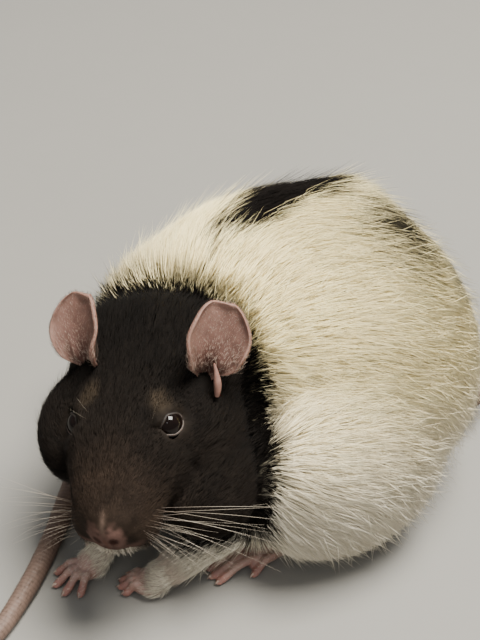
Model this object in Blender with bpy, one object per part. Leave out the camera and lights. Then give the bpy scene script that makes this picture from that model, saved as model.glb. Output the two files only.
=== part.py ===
"""A hunched pet rat with a dark hood, life size, as named solids.

Sizes are written in millimetres and scaled to metres at the end, and +Z is up. While it is built the
rat sits on the plane z = 0 round the origin, with its chest towards -Y and its left towards +X, its
head turned to its own left and its tail laid round its right side. The solids reach to the tips of
the coat. The last step moves the middle of the whole box to the origin.
"""

import math
from dataclasses import dataclass, replace

import bmesh
import bpy
from mathutils import Matrix, Vector

METRES = 0.001
GAP = 0.3  # clearance between neighbouring solids
UP = Vector((0, 0, 1))
LEFT, RIGHT = 1, -1
SIDE_NAMES = {LEFT: "left", RIGHT: "right"}

# Trunk, from rump to neck: centre x, y, z, half width, half height.
TRUNK_ROWS = (
    (25, 47, 31, 2, 2),
    (23, 44, 32, 14, 16),
    (18, 36, 36.5, 28, 29.5),
    (9, 22, 40.5, 37.5, 40.1),
    (-2, 11, 41.4, 38, 42.9),
    (-14, 4, 40.7, 32.5, 40.3),
    (-23, -2, 39.5, 28.5, 37.6),
    (-30.5, -8, 37, 26, 33.6),
    (-35, -14, 34.5, 22.3, 28.5),
    (-38, -22, 32.5, 17.1, 23.6),
    (-39, -29, 31.5, 11, 14),
    (-39.5, -33, 31, 2, 3),
)
TRUNK_SIDES = 40
CHEST = ((-4, -32, 27.5), (19, 23, 23))  # its middle, and how far it reaches ahead, aside and up
SHOULDER = {LEFT: ((4, -25, 30), (15, 12, 17)), RIGHT: ((-25, -31, 29), (14, 12, 16))}
CHEST_HEADING = 19.0
BODY_HEADING = -22.0
MIDLINE = (4.5, 0.0, 0.0)  # the floor point that the hind quarters are placed from

THIGH = ((0, 25.5, 26.2), (28, 16, 26.8))  # back, aside, up, and its reach the same ways
THIGH_CUT = ((-1, 41, 21), (29, 23, 28))

# Head rows from the nose to the neck: distance back, half width, rise, drop.
NOSE_TIP = (11.1, -72.4, 36.4)
HEAD_HEADING, HEAD_PITCH, HEAD_ROLL = 32.0, 11.0, 9.5
NOSE_SWAY = (2.3, 1.0)  # how far the nose is turned to the left and down
SWAY_REACH, SWAY_POWER = 27.0, 1.3  # the turn fades out as far back as the eyes
HEAD_ROWS = (
    (0.4, 2.2, 1.6, 1.8),
    (1.8, 4.2, 3.2, 4.6),
    (4.5, 7.2, 4.8, 7.1),
    (9.0, 10.2, 6.6, 8.6),
    (15.0, 12.4, 8.7, 10.2),
    (21.5, 15.6, 10.8, 12.8),
    (28.5, 18.0, 12.8, 14.8),
    (36.5, 21.0, 14.4, 15.0),
    (45.0, 23.6, 15.8, 17.6),
    (53.0, 24.6, 17.2, 19.4),
    (60.0, 22.0, 15.5, 17.0),
    (66.0, 11.0, 8.0, 9.0),
)
HEAD_SIDES = 32
MUZZLE_BACK, HEAD_END = 18.0, 46.0
CHEEK = ((36, 13.5, -4), (14.5, 11.5, 12))
BROW = ((27.6, 8.8, 5.4), (8.4, 5.6, 5.8))
WHISKER_PAD = ((8.6, 5.4, -2.5), (6.4, 5.4, 5.0))
CHIN = ((12.5, 0, -7.0), (8.0, 5.0, 4.6))
THROAT = ((36, 6, -12), (17, 15, 11.5))  # pushed to the left by the turn of the head
JOWL = {LEFT: ((29, 16.3, -13.8), (16.5, 13, 12.6)), RIGHT: ((34.5, 15.0, -4.5), (16.5, 12.6, 13))}

EYE = (27.6, 11.2, 6.0)  # back, aside, up
EYE_RADIUS = 3.3
EYE_FACING = (0.42, 0.68, 0.60)  # forward, aside, up
EYE_SLANT = (-0.80, 0.40, 0.35)  # from the inner to the outer corner
LID_THICKNESS = 0.7
LID_OPENING = (4.1, 3.2)

NOSTRIL = ((1.0, 1.9, -0.4), (1.1, 0.8, 0.75))
MOUTH_RADIUS = 0.45
MOUTH_PATH = ((2.4, 0, -5.4), (4.4, 1.5, -7.7), (8.0, 5.7, -7.7), (12.5, 8.6, -6.0))
CLEFT_PATH = ((0.5, 0, -1.7), (1.3, 0, -3.6), (2.5, 0, -5.6))

EAR_ROOT = {LEFT: (40.5, 17.4, 9.6), RIGHT: (40.5, 13.5, 9.6)}
EAR_RISE = {LEFT: (-0.42, 0.31, 0.86), RIGHT: (-0.42, 0.02, 0.86)}
EAR_FACING = (0.78, 0.48, 0.30)
EAR_HEIGHT, EAR_HALF_WIDTH, EAR_THICKNESS = 18.9, 8.8, 0.9
EAR_BEND_RADIUS = (5.2, 11.5)  # of the cup, at the root and at the tip
EAR_ROWS, EAR_COLUMNS = 8, 10

# Forelegs: shoulder, elbow, middle of the forearm and wrist, each with its radius.
FORELEG = {
    LEFT: (((4, -25, 30), 14.0), ((15.5, -30, 20), 8.4), ((13, -41.5, 12.5), 5.7), ((9.5, -52, 7), 4.3)),
    RIGHT: (((-23, -30, 30), 13.0), ((-20, -44, 13), 9.6), ((-13, -53, 9), 6.2), ((-8, -58.5, 6), 4.1)),
}
FOREPAW_HEADING = {LEFT: -50.0, RIGHT: -2.0}
FOREPAW_CURL = {LEFT: 0.62, RIGHT: 0.95}
FOREPAW_SPREAD = {LEFT: 1.0, RIGHT: 1.45}
PALM_LENGTH, PALM_WIDTH, PALM_HEIGHT = 9.5, 8.4, 5.0
PALM_ROOT = (3.6, 3.4)  # height and radius where the wrist runs into the palm
FOREPAW_DIGITS = ((-24, 6.6), (-7, 8.2), (9, 8.0), (26, 6.4))  # spread in degrees, length

HEEL = {LEFT: (3.0, 19.0), RIGHT: (-1.5, 21.5)}  # back and aside of the midline point
HINDFOOT_TURN = 9.0
SOLE_LENGTH = 27.0
# Sole rows from heel to toes: share of its length, half width, height.
SOLE_ROWS = (
    (-0.08, 2.0, 4.0),
    (0.0, 3.4, 7.5),
    (0.25, 3.5, 7.6),
    (0.6, 3.8, 5.8),
    (0.9, 4.4, 4.8),
    (1.04, 3.4, 3.6),
)
ANKLE = (((2.5, 0, 5), 3.6), ((5, -1.5, 12), 4.4), ((2, -4, 20), 5.5))  # back, aside, up, radius
# Toes: spread in degrees, length, share of the sole that they start at, place across the sole.
HINDFOOT_DIGITS = (
    (-26, 7.5, 0.80, -3.2),
    (-10, 11.0, 0.97, -1.5),
    (0, 11.8, 0.97, 0.0),
    (10, 11.0, 0.97, 1.5),
    (27, 7.0, 0.80, 3.2),
)
KNUCKLE_HEIGHT = {"forepaw": 3.0, "hindfoot": 2.6}
DIGIT_RADIUS = 1.25
CLAW_RADIUS, CLAW_LENGTH = 0.55, 2.4

# Tail, along its middle: x, y, height above the floor, radius.
TAIL_ROWS = (
    (18, 38, 17, 6.4),
    (21, 50, 13, 6.2),
    (16, 60, 8, 5.7),
    (-2, 65, 5.1, 5.1),
    (-24, 58, 4.6, 4.6),
    (-41, 42, 4.3, 4.3),
    (-50, 18, 4.0, 4.0),
    (-52, -8, 3.7, 3.7),
    (-45, -30, 3.4, 3.4),
    (-34, -48, 3.1, 3.1),
    (-22, -64, 2.8, 2.8),
    (-12, -80, 2.6, 2.6),
    (-6, -95, 2.3, 2.3),
    (-9, -108, 2.0, 2.0),
    (-20, -116, 1.7, 1.7),
    (-34, -117, 1.1, 1.0),
)
TAIL_BREAKS = (5, 10)
TAIL_STEPS, TAIL_SIDES = 3, 12

TRIANGLES = {"torso": 1800, "head": 2800, "foreleg": 420, "forepaw": 620, "hindfoot": 640}


@dataclass(frozen=True)
class LocalFrame:
    """An origin with forward, left and up directions, in millimetres."""

    origin: Vector
    forward: Vector
    left: Vector
    up: Vector
    sway: tuple = (0.0, 0.0)

    def point(self, back, left, up):
        share = max(0.0, 1 - back / SWAY_REACH) ** SWAY_POWER
        left, up = left + self.sway[0] * share, up - self.sway[1] * share
        return self.origin - self.forward * back + self.left * left + self.up * up

    def direction(self, forward, left, up):
        return (self.forward * forward + self.left * left + self.up * up).normalized()


def local_frame(origin, heading, pitch=0.0, roll=0.0):
    """Heading turns to the left from -Y, pitch lowers the front and roll lifts the left side."""
    turn, dip, lean = (math.radians(angle) for angle in (heading, pitch, roll))
    forward = Vector((math.sin(turn) * math.cos(dip), -math.cos(turn) * math.cos(dip), -math.sin(dip)))
    level = Vector((math.cos(turn), math.sin(turn), 0))
    left = Matrix.Rotation(lean, 3, forward) @ level
    return LocalFrame(Vector(origin), forward, left, forward.cross(left))


HEAD = replace(local_frame(NOSE_TIP, HEAD_HEADING, HEAD_PITCH, HEAD_ROLL), sway=NOSE_SWAY)
BODY = local_frame(MIDLINE, BODY_HEADING)

FINISHES = {
    "hood_fur": ((0.035, 0.028, 0.024, 1), 0.75),
    "white_fur": ((0.72, 0.68, 0.56, 1), 0.8),
    "bare_skin": ((0.62, 0.36, 0.32, 1), 0.55),
    "tail_skin": ((0.42, 0.28, 0.23, 1), 0.6),
    "eye": ((0.01, 0.008, 0.008, 1), 0.06),
}
NODE_FINISH = {
    "torso": "white_fur",
    "haunch": "white_fur",
    "foreleg": "white_fur",
    "neck": "hood_fur",
    "head": "hood_fur",
    "muzzle": "hood_fur",
    "eye": "eye",
    "tail": "tail_skin",
    "ear": "bare_skin",
    "forepaw": "bare_skin",
    "hindfoot": "bare_skin",
}


def clear_scene():
    for obj in list(bpy.data.objects):
        bpy.data.objects.remove(obj, do_unlink=True)


def material(node_name):
    """The Principled material of a node, made for it alone."""
    colour, roughness = FINISHES[NODE_FINISH[node_name.split("_")[0]]]
    made = bpy.data.materials.new(node_name)
    made.use_nodes = True
    shader = made.node_tree.nodes["Principled BSDF"]
    shader.inputs["Base Color"].default_value = colour
    shader.inputs["Roughness"].default_value = roughness
    shader.inputs["Metallic"].default_value = 0.0
    return made


def new_object(name, bm):
    """Links a mesh object made from bm, whose points are in millimetres."""
    bmesh.ops.recalc_face_normals(bm, faces=bm.faces)
    mesh = bpy.data.meshes.new(name)
    bm.to_mesh(mesh)
    bm.free()
    obj = bpy.data.objects.new(name, mesh)
    bpy.context.scene.collection.objects.link(obj)
    return obj


def remove(*objects):
    for obj in objects:
        bpy.data.objects.remove(obj, do_unlink=True)


def copy_of(obj, name):
    made = obj.copy()
    made.data = obj.data.copy()
    made.name = name
    bpy.context.scene.collection.objects.link(made)
    return made


def modified(obj, kind, **settings):
    """Applies one modifier to the object's mesh."""
    modifier = obj.modifiers.new(kind.title(), kind)
    for name, value in settings.items():
        setattr(modifier, name, value)
    graph = bpy.context.evaluated_depsgraph_get()
    mesh = bpy.data.meshes.new_from_object(obj.evaluated_get(graph))
    obj.modifiers.clear()
    obj.data = mesh
    return obj


def catmull(before, start, end, after, share):
    """The point at share between start and end on a smooth curve through the four values."""
    square, cube = share * share, share * share * share
    return 0.5 * (
        2 * start
        + (end - before) * share
        + (2 * before - 5 * start + 4 * end - after) * square
        + (3 * start - before - 3 * end + after) * cube
    )


def smooth_rows(rows, steps):
    """Rows of numbers with steps - 1 smooth rows put in between each two."""
    made = []
    for index in range(len(rows) - 1):
        around = [rows[min(max(index + k, 0), len(rows) - 1)] for k in (-1, 0, 1, 2)]
        for step in range(steps):
            made.append(tuple(catmull(*values, step / steps) for values in zip(*around)))
    made.append(tuple(float(value) for value in rows[-1]))
    return made


def oval(centre, side, up, half_width, rise, drop, count):
    """A closed ring of points, a little fuller at its shoulders than an ellipse."""
    fullness = 0.92
    points = []
    for index in range(count):
        angle = 2 * math.pi * index / count
        across, along = math.cos(angle), math.sin(angle)
        across = math.copysign(abs(across) ** fullness, across)
        along = math.copysign(abs(along) ** fullness, along)
        height = rise if along > 0 else drop
        points.append(centre + side * half_width * across + up * height * along)
    return points


def loft(bm, rings):
    """Adds a closed tube through the rings, capped at both ends."""
    loops = [[bm.verts.new(point) for point in ring] for ring in rings]
    for first, second in zip(loops, loops[1:]):
        for index, vert in enumerate(first):
            after = (index + 1) % len(first)
            bm.faces.new((vert, first[after], second[after], second[index]))
    for loop in (loops[0], loops[-1]):
        centre = sum((vert.co for vert in loop), Vector()) / len(loop)
        middle = bm.verts.new(centre)
        for index, vert in enumerate(loop):
            bm.faces.new((vert, middle, loop[(index + 1) % len(loop)]))


def ellipsoid(bm, frame, centre, radii, subdivisions=3):
    """Adds an ellipsoid at a frame's back, left, up centre, with its reach the same three ways."""
    axes = Matrix((frame.forward * radii[0], frame.left * radii[1], frame.up * radii[2])).transposed()
    place = Matrix.Translation(frame.point(*centre)) @ axes.to_4x4()
    bmesh.ops.create_icosphere(bm, subdivisions=subdivisions, radius=1.0, matrix=place)


def mirrored(values, side):
    """The same values with the middle one, which points left, turned to the given side."""
    return values[0], values[1] * side, values[2]


def tube_rings(points, radii, sides):
    """Rings of points round a path, their planes turning with it."""
    side = None
    rings = []
    for index, point in enumerate(points):
        ahead = points[min(index + 1, len(points) - 1)] - points[max(index - 1, 0)]
        ahead.normalize()
        if side is None:
            side = ahead.cross(UP) if abs(ahead.z) < 0.95 else ahead.orthogonal()
        side = (side - ahead * side.dot(ahead)).normalized()
        up = ahead.cross(side)
        ring = []
        for turn in range(sides):
            angle = 2 * math.pi * turn / sides
            ring.append(point + (side * math.cos(angle) + up * math.sin(angle)) * radii[index])
        rings.append(ring)
    return rings


def tube(bm, points, radii, sides):
    """Adds a round tapered tube through points."""
    loft(bm, tube_rings(points, radii, sides))


def smooth_tube(bm, path, radii, steps, sides):
    """A tube through smooth_rows of the path's points and radii."""
    rows = smooth_rows([(*point, radius) for point, radius in zip(path, radii)], steps)
    tube(bm, [Vector(row[:3]) for row in rows], [row[3] for row in rows], sides)


def fused(name, bm, voxel, smoothing, count):
    """One skin over all the pieces in bm, smoothed and brought to about count triangles."""
    obj = new_object(name, bm)
    modified(obj, "REMESH", mode="VOXEL", voxel_size=voxel)
    if smoothing:
        modified(obj, "SMOOTH", factor=0.5, iterations=smoothing)
    triangles = sum(len(face.vertices) - 2 for face in obj.data.polygons)
    return modified(obj, "DECIMATE", ratio=min(1.0, count / triangles), use_collapse_triangulate=True)


def boolean(obj, operation, *others, solver="EXACT"):
    """Applies a Boolean with each other object in turn; the others stay."""
    for other in others:
        modified(obj, "BOOLEAN", operation=operation, object=other, solver=solver)
    return obj


def grown(obj, distance=GAP):
    """A copy moved outwards along its normals, to cut a clearance with."""
    return modified(copy_of(obj, obj.name + "_grown"), "DISPLACE", strength=distance, mid_level=0.0)


def cleared(obj, *cutters):
    """Cuts the object with cutters that are already a gap larger and keeps its largest piece."""
    boolean(obj, "DIFFERENCE", *cutters)
    return largest_piece(obj)


def largest_piece(obj):
    """Keeps the largest closed surface of the object."""
    bm = bmesh.new()
    bm.from_mesh(obj.data)
    unseen = set(bm.verts)
    groups = []
    while unseen:
        seed = unseen.pop()
        group, front = {seed}, [seed]
        while front:
            for edge in front.pop().link_edges:
                for vert in edge.verts:
                    if vert in unseen:
                        unseen.discard(vert)
                        group.add(vert)
                        front.append(vert)
        groups.append(group)
    groups.sort(key=len)
    for group in groups[:-1]:
        bmesh.ops.delete(bm, geom=list(group), context="VERTS")
    bm.to_mesh(obj.data)
    bm.free()
    return obj


def kept_side(obj, point, normal):
    """Keeps what lies on the side of the plane that normal points to, and closes the cut."""
    bm = bmesh.new()
    bm.from_mesh(obj.data)
    everything = list(bm.verts) + list(bm.edges) + list(bm.faces)
    bmesh.ops.bisect_plane(
        bm, geom=everything, dist=1e-5, plane_co=point, plane_no=normal, clear_inner=True
    )
    rim = [edge for edge in bm.edges if edge.is_boundary]
    bmesh.ops.triangle_fill(bm, edges=rim, use_beauty=True, normal=-normal)
    bmesh.ops.recalc_face_normals(bm, faces=bm.faces)
    bm.to_mesh(obj.data)
    bm.free()
    return obj


def parted(obj, name, point, normal):
    """Cuts obj at a plane, a gap wide: the new object keeps the normal's side."""
    half = normal * GAP / 2
    other = kept_side(copy_of(obj, name), point + half, normal)
    kept_side(obj, point - half, -normal)
    return other


def rested(obj):
    """Cuts a small flat where the object meets the floor."""
    return kept_side(obj, Vector((0, 0, 0)), UP)


def trunk():
    """The trunk as one skin, with thighs, shoulders and chest."""
    bm = bmesh.new()
    rows = smooth_rows(TRUNK_ROWS, 4)
    centres = [Vector(row[:3]) for row in rows]
    rings = []
    for index, row in enumerate(rows):
        ahead = centres[min(index + 1, len(rows) - 1)] - centres[max(index - 1, 0)]
        side = UP.cross(ahead).normalized()
        rings.append(oval(centres[index], side, UP, row[3], row[4], row[4], TRUNK_SIDES))
    loft(bm, rings)
    ellipsoid(bm, local_frame(CHEST[0], CHEST_HEADING), (0, 0, 0), CHEST[1])
    for side in SIDE_NAMES:
        ellipsoid(bm, BODY, mirrored(THIGH[0], side), THIGH[1])
        middle, reach = SHOULDER[side]
        ellipsoid(bm, local_frame(middle, CHEST_HEADING), (0, 0, 0), reach)
    return rested(fused("torso", bm, 1.6, 30, TRIANGLES["torso"]))


def head_and_neck():
    """Head and neck as one skin."""
    bm = bmesh.new()
    rings = [
        oval(HEAD.point(back, 0, 0), HEAD.left, HEAD.up, half_width, rise, drop, HEAD_SIDES)
        for back, half_width, rise, drop in smooth_rows(HEAD_ROWS, 3)
    ]
    loft(bm, rings)
    ellipsoid(bm, HEAD, *CHIN)
    ellipsoid(bm, HEAD, *THROAT)
    for side in SIDE_NAMES:
        for centre, radii in (WHISKER_PAD, BROW, CHEEK, JOWL[side]):
            ellipsoid(bm, HEAD, mirrored(centre, side), radii)
    return fused("neck", bm, 0.9, 12, TRIANGLES["head"])


def haunches(torso):
    """Parts the thighs from the torso with a curved cut."""
    made = []
    for side, name in SIDE_NAMES.items():
        centre, radii = THIGH_CUT
        cutters = []
        for extra in (0, GAP):
            bm = bmesh.new()
            ellipsoid(bm, BODY, mirrored(centre, side), [radius + extra for radius in radii], 3)
            cutters.append(new_object("thigh_cutter", bm))
        haunch = copy_of(torso, f"haunch_{name}")
        boolean(haunch, "INTERSECT", cutters[0])
        boolean(torso, "DIFFERENCE", cutters[1])
        largest_piece(haunch)
        largest_piece(torso)
        remove(*cutters)
        made.append(haunch)
    return made


def eyes(head):
    """Adds both eyeballs, with lids and sockets cut in the head."""
    made = []
    for side, name in SIDE_NAMES.items():
        centre = HEAD.point(*mirrored(EYE, side))
        facing = HEAD.direction(*mirrored(EYE_FACING, side))
        slant = HEAD.direction(*mirrored(EYE_SLANT, side))
        slant = (slant - facing * slant.dot(facing)).normalized()
        frame = LocalFrame(centre, facing, slant, facing.cross(slant))
        pieces = []
        for radius in (EYE_RADIUS + GAP + LID_THICKNESS, EYE_RADIUS + GAP):
            bm = bmesh.new()
            ellipsoid(bm, frame, (0, 0, 0), (radius, radius, radius), 3)
            pieces.append(new_object("eye_cutter", bm))
        bm = bmesh.new()
        reach = EYE_RADIUS + 4
        ellipsoid(bm, frame, (-reach, 0, 0), (reach, *LID_OPENING), 3)
        pieces.append(new_object("lid_cutter", bm))
        boolean(head, "UNION", pieces[0])
        boolean(head, "DIFFERENCE", pieces[1], pieces[2])
        largest_piece(head)
        remove(*pieces)
        bm = bmesh.new()
        bmesh.ops.create_uvsphere(
            bm, u_segments=12, v_segments=8, radius=EYE_RADIUS, matrix=Matrix.Translation(centre)
        )
        made.append(new_object(f"eye_{name}", bm))
    return made


def muzzle_openings(muzzle):
    """Cuts the nostrils, the cleft under the nose and the line of the mouth."""
    cutters = []
    for side in SIDE_NAMES:
        bm = bmesh.new()
        ellipsoid(bm, HEAD, mirrored(NOSTRIL[0], side), NOSTRIL[1], 2)
        cutters.append(new_object("nostril_cutter", bm))
        bm = bmesh.new()
        points = [HEAD.point(*mirrored(point, side)) for point in MOUTH_PATH]
        smooth_tube(bm, points, [MOUTH_RADIUS] * len(points), 3, 6)
        cutters.append(new_object("mouth_cutter", bm))
    bm = bmesh.new()
    points = [HEAD.point(*point) for point in CLEFT_PATH]
    smooth_tube(bm, points, [MOUTH_RADIUS] * len(points), 3, 6)
    cutters.append(new_object("cleft_cutter", bm))
    boolean(muzzle, "DIFFERENCE", *cutters)
    remove(*cutters)
    largest_piece(muzzle)


def ear_half_width(share):
    """Half width of the ear at a share of its height, from a narrow root to a round top."""
    if share < 0.5:
        return EAR_HALF_WIDTH * (0.4 + 0.6 * math.sin(math.pi * share) ** 0.8)
    return EAR_HALF_WIDTH * math.sqrt(max(0.0, 1 - ((share - 0.5) / 0.52) ** 2))


def ear(side):
    """A thin cupped shell that stands up from the head."""
    rise = HEAD.direction(*mirrored(EAR_RISE[side], side))
    facing = HEAD.direction(*mirrored(EAR_FACING, side))
    facing = (facing - rise * facing.dot(rise)).normalized()
    across = rise.cross(facing)
    root = HEAD.point(*mirrored(EAR_ROOT[side], side))
    bm = bmesh.new()
    layers = []
    for depth in (0.0, EAR_THICKNESS):
        rows = []
        for row in range(EAR_ROWS + 1):
            share = -0.22 + 1.22 * math.sin(0.5 * math.pi * row / EAR_ROWS)
            half_width = ear_half_width(max(share, 0.0))
            near, far = EAR_BEND_RADIUS
            bend = near + (far - near) * max(share, 0.0)
            lean = 2.4 * max(share, 0.0) ** 2
            verts = []
            for column in range(EAR_COLUMNS + 1):
                turn = (2 * column / EAR_COLUMNS - 1) * half_width / bend
                radius = bend + depth - EAR_THICKNESS / 2
                middle = root + rise * EAR_HEIGHT * share + facing * (bend - lean)
                outward = across * math.sin(turn) - facing * math.cos(turn)
                verts.append(bm.verts.new(middle + outward * radius))
            rows.append(verts)
        layers.append(rows)
    inner, outer = layers
    for rows, flip in ((inner, False), (outer, True)):
        for low, high in zip(rows, rows[1:]):
            for column in range(EAR_COLUMNS):
                corners = (low[column], low[column + 1], high[column + 1], high[column])
                for picked in ((0, 1, 2), (0, 2, 3)):
                    face = [corners[index] for index in picked]
                    bm.faces.new(face[::-1] if flip else face)
    rims = [list(edge) for edge in ear_rim(inner)], [list(edge) for edge in ear_rim(outer)]
    for (start, end), (outer_start, outer_end) in zip(*rims):
        bm.faces.new((end, start, outer_start))
        bm.faces.new((end, outer_start, outer_end))
    return new_object(f"ear_{SIDE_NAMES[side]}", bm)


def ear_rim(rows):
    """The edges round a grid of vertices, in order."""
    loop = list(rows[0])
    loop += [row[-1] for row in rows[1:]]
    loop += list(reversed(rows[-1][:-1]))
    loop += [row[0] for row in reversed(rows[1:-1])]
    return zip(loop, loop[1:] + loop[:1])


def digit(bm, root, heading, reach, height):
    """A toe that arches from its root down to the floor, with a claw."""
    frame = local_frame(root, heading)
    rise = DIGIT_RADIUS * 0.82
    path = [
        frame.point(1.5, 0, height),
        frame.point(-reach * 0.35, 0, height + 0.7),
        frame.point(-reach * 0.75, 0, rise + 0.9),
        frame.point(-reach, 0, rise),
    ]
    smooth_tube(bm, path, [DIGIT_RADIUS * share for share in (1.1, 1.05, 0.95, 0.8)], 3, 8)
    claw = [path[-1] + frame.forward * 0.2]
    claw.append(claw[0] + frame.forward * CLAW_LENGTH * 0.55 + UP * 0.25)
    claw.append(claw[0] + frame.forward * CLAW_LENGTH - UP * 0.35)
    tube(bm, claw, [CLAW_RADIUS * share for share in (1.0, 0.9, 0.45)], 6)


def forepaw(side):
    """A hand of four digits with a palm and a wrist."""
    (elbow_end, _), (wrist, wrist_radius) = FORELEG[side][-2:]
    heading = FOREPAW_HEADING[side]
    frame = local_frame((wrist[0], wrist[1], 0), heading)
    palm_height, palm_radius = PALM_ROOT
    path = [
        Vector(elbow_end).lerp(Vector(wrist), 0.75),
        Vector(wrist),
        frame.point(-PALM_LENGTH * 0.45, 0, palm_height),
    ]
    bm = bmesh.new()
    tube(bm, path, [wrist_radius, wrist_radius * 0.94, palm_radius], 12)
    half_height = PALM_HEIGHT * 0.55
    palm = (PALM_LENGTH * 0.55, PALM_WIDTH / 2, half_height)
    ellipsoid(bm, frame, (-PALM_LENGTH * 0.42, 0, half_height), palm)
    for spread, length in FOREPAW_DIGITS:
        spread *= FOREPAW_SPREAD[side]
        turned = local_frame(frame.point(-PALM_LENGTH * 0.30, 0, 0), heading + spread)
        root = turned.point(-PALM_WIDTH * 0.42, 0, 0)
        reach = length * FOREPAW_CURL[side]
        digit(bm, root, heading + spread * 0.8, reach, KNUCKLE_HEIGHT["forepaw"])
    return rested(fused(f"forepaw_{SIDE_NAMES[side]}", bm, 0.42, 2, TRIANGLES["forepaw"]))


def foreleg(side):
    """Upper arm and forearm with their fur."""
    bm = bmesh.new()
    points = [Vector(point) for point, _ in FORELEG[side]]
    radii = [radius for _, radius in FORELEG[side]]
    smooth_tube(bm, points, radii, 5, 18)
    ahead = (points[-1] - points[-2]).normalized()
    obj = fused(f"foreleg_{SIDE_NAMES[side]}", bm, 0.9, 3, TRIANGLES["foreleg"])
    return rested(kept_side(obj, points[-1] - ahead * GAP, -ahead))


def hindfoot(side):
    """A long foot flat on the floor, with five toes."""
    back, aside = HEEL[side]
    heading = BODY_HEADING + HINDFOOT_TURN * side
    frame = local_frame(BODY.point(back, aside * side, 0), heading)
    rings = []
    for share, half_width, height in SOLE_ROWS:
        centre = frame.point(-SOLE_LENGTH * share, 0, height / 2 - 0.15)
        rings.append(oval(centre, frame.left, UP, half_width, height / 2, height / 2, 16))
    bm = bmesh.new()
    loft(bm, rings)
    ankle = [frame.point(*mirrored(point, side)) for point, _ in ANKLE]
    tube(bm, ankle, [radius for _, radius in ANKLE], 12)
    for spread, length, share, aside in HINDFOOT_DIGITS:
        root = frame.point(-SOLE_LENGTH * share, aside, 0)
        digit(bm, root, heading + spread * 0.5, length, KNUCKLE_HEIGHT["hindfoot"])
    return rested(fused(f"hindfoot_{SIDE_NAMES[side]}", bm, 0.45, 2, TRIANGLES["hindfoot"]))


def tail():
    """The tail in three lengths, laid on the floor."""
    rows = smooth_rows(TAIL_ROWS, TAIL_STEPS)
    points = [Vector((x, y, max(height, radius))) for x, y, height, radius in rows]
    rings = tube_rings(points, [row[3] for row in rows], TAIL_SIDES)
    breaks = [0, *(index * TAIL_STEPS for index in TAIL_BREAKS), len(rows) - 1]
    made = []
    for name, start, end in zip(("root", "middle", "tip"), breaks, breaks[1:]):
        length = rings[start : end + 1]
        if start:
            ahead = (points[start + 1] - points[start - 1]).normalized()
            length[0] = [point + ahead * GAP for point in length[0]]
        bm = bmesh.new()
        loft(bm, length)
        made.append(new_object(f"tail_{name}", bm))
    return made


def settle(nodes):
    """Scales the nodes to metres and puts the middle of their box's foot at the origin."""
    corners = [vert.co for node in nodes for vert in node.data.vertices]
    low = Vector([min(corner[axis] for corner in corners) for axis in range(3)])
    high = Vector([max(corner[axis] for corner in corners) for axis in range(3)])
    shift = Vector(((low.x + high.x) / 2, (low.y + high.y) / 2, low.z))
    place = Matrix.Scale(METRES, 4) @ Matrix.Translation(-shift)
    for node in nodes:
        node.data.transform(place)
    return -shift


def main():
    clear_scene()
    torso = trunk()
    neck = head_and_neck()
    torso_room = grown(torso)
    head_room = grown(neck)
    head = parted(neck, "head", HEAD.point(HEAD_END, 0, 0), HEAD.forward)
    muzzle = parted(head, "muzzle", HEAD.point(MUZZLE_BACK, 0, 0), HEAD.forward)
    cleared(torso, head_room)
    thighs = haunches(torso)
    eyeballs = eyes(head)
    muzzle_openings(muzzle)
    forelegs = [foreleg(side) for side in SIDE_NAMES]
    leg_rooms = [grown(leg) for leg in forelegs]
    forepaws = [cleared(forepaw(side), room) for side, room in zip(SIDE_NAMES, leg_rooms)]
    for leg in forelegs:
        cleared(leg, torso_room, head_room)
    hindfeet = [cleared(hindfoot(side), torso_room, *leg_rooms) for side in SIDE_NAMES]
    ears = [cleared(ear(side), head_room) for side in SIDE_NAMES]
    lengths = tail()
    cleared(lengths[0], torso_room)
    remove(torso_room, head_room, *leg_rooms)
    nodes = [torso, neck, head, muzzle, *thighs, *eyeballs, *ears]
    nodes += [*forelegs, *forepaws, *hindfeet, *lengths]
    for node in nodes:
        node.data.materials.clear()
        node.data.materials.append(material(node.name))
    return settle(nodes)


OFFSET = main()
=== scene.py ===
"""The look of a hunched pet rat with a dark hood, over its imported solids.

Sizes are in millimetres in the frame that the solids are modelled in, with the chest towards -Y, the
rat's left towards +X and the floor at z = 0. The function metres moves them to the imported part's
frame. One skin replaces the fleshy nodes of trunk, legs, neck and head; it lies inside them by the
depth of the coat, and the coat grows out of it to the solids' outline in small tapered tufts.
"""

import itertools
import logging
import math
from collections.abc import Iterable
from dataclasses import dataclass, field
from enum import Enum

import bmesh
import bpy
import numpy as np
from mathutils import Matrix, Vector
from mathutils.bvhtree import BVHTree
from mathutils.kdtree import KDTree


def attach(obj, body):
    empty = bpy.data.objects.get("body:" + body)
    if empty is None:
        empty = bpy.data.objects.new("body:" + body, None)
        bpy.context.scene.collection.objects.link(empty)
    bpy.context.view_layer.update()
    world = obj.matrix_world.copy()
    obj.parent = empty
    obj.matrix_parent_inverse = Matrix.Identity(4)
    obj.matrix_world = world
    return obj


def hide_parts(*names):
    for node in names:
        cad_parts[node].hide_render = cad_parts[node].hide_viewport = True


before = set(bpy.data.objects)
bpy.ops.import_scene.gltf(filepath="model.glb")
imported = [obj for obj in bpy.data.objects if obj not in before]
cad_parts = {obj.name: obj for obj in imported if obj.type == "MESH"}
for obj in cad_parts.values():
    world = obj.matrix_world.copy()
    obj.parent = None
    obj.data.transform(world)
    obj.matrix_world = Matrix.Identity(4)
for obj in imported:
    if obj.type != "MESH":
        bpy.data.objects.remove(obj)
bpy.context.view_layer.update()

LOG = logging.getLogger("rat")
MM = 0.001
SHIFT = np.array((5.0609, 24.1203, 0.0))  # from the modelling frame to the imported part's frame
Array = np.ndarray


class Side(Enum):
    """The rat's own two sides."""

    LEFT = 1
    RIGHT = -1

    @property
    def word(self) -> str:
        """The side's name as the nodes spell it."""
        return self.name.lower()


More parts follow.
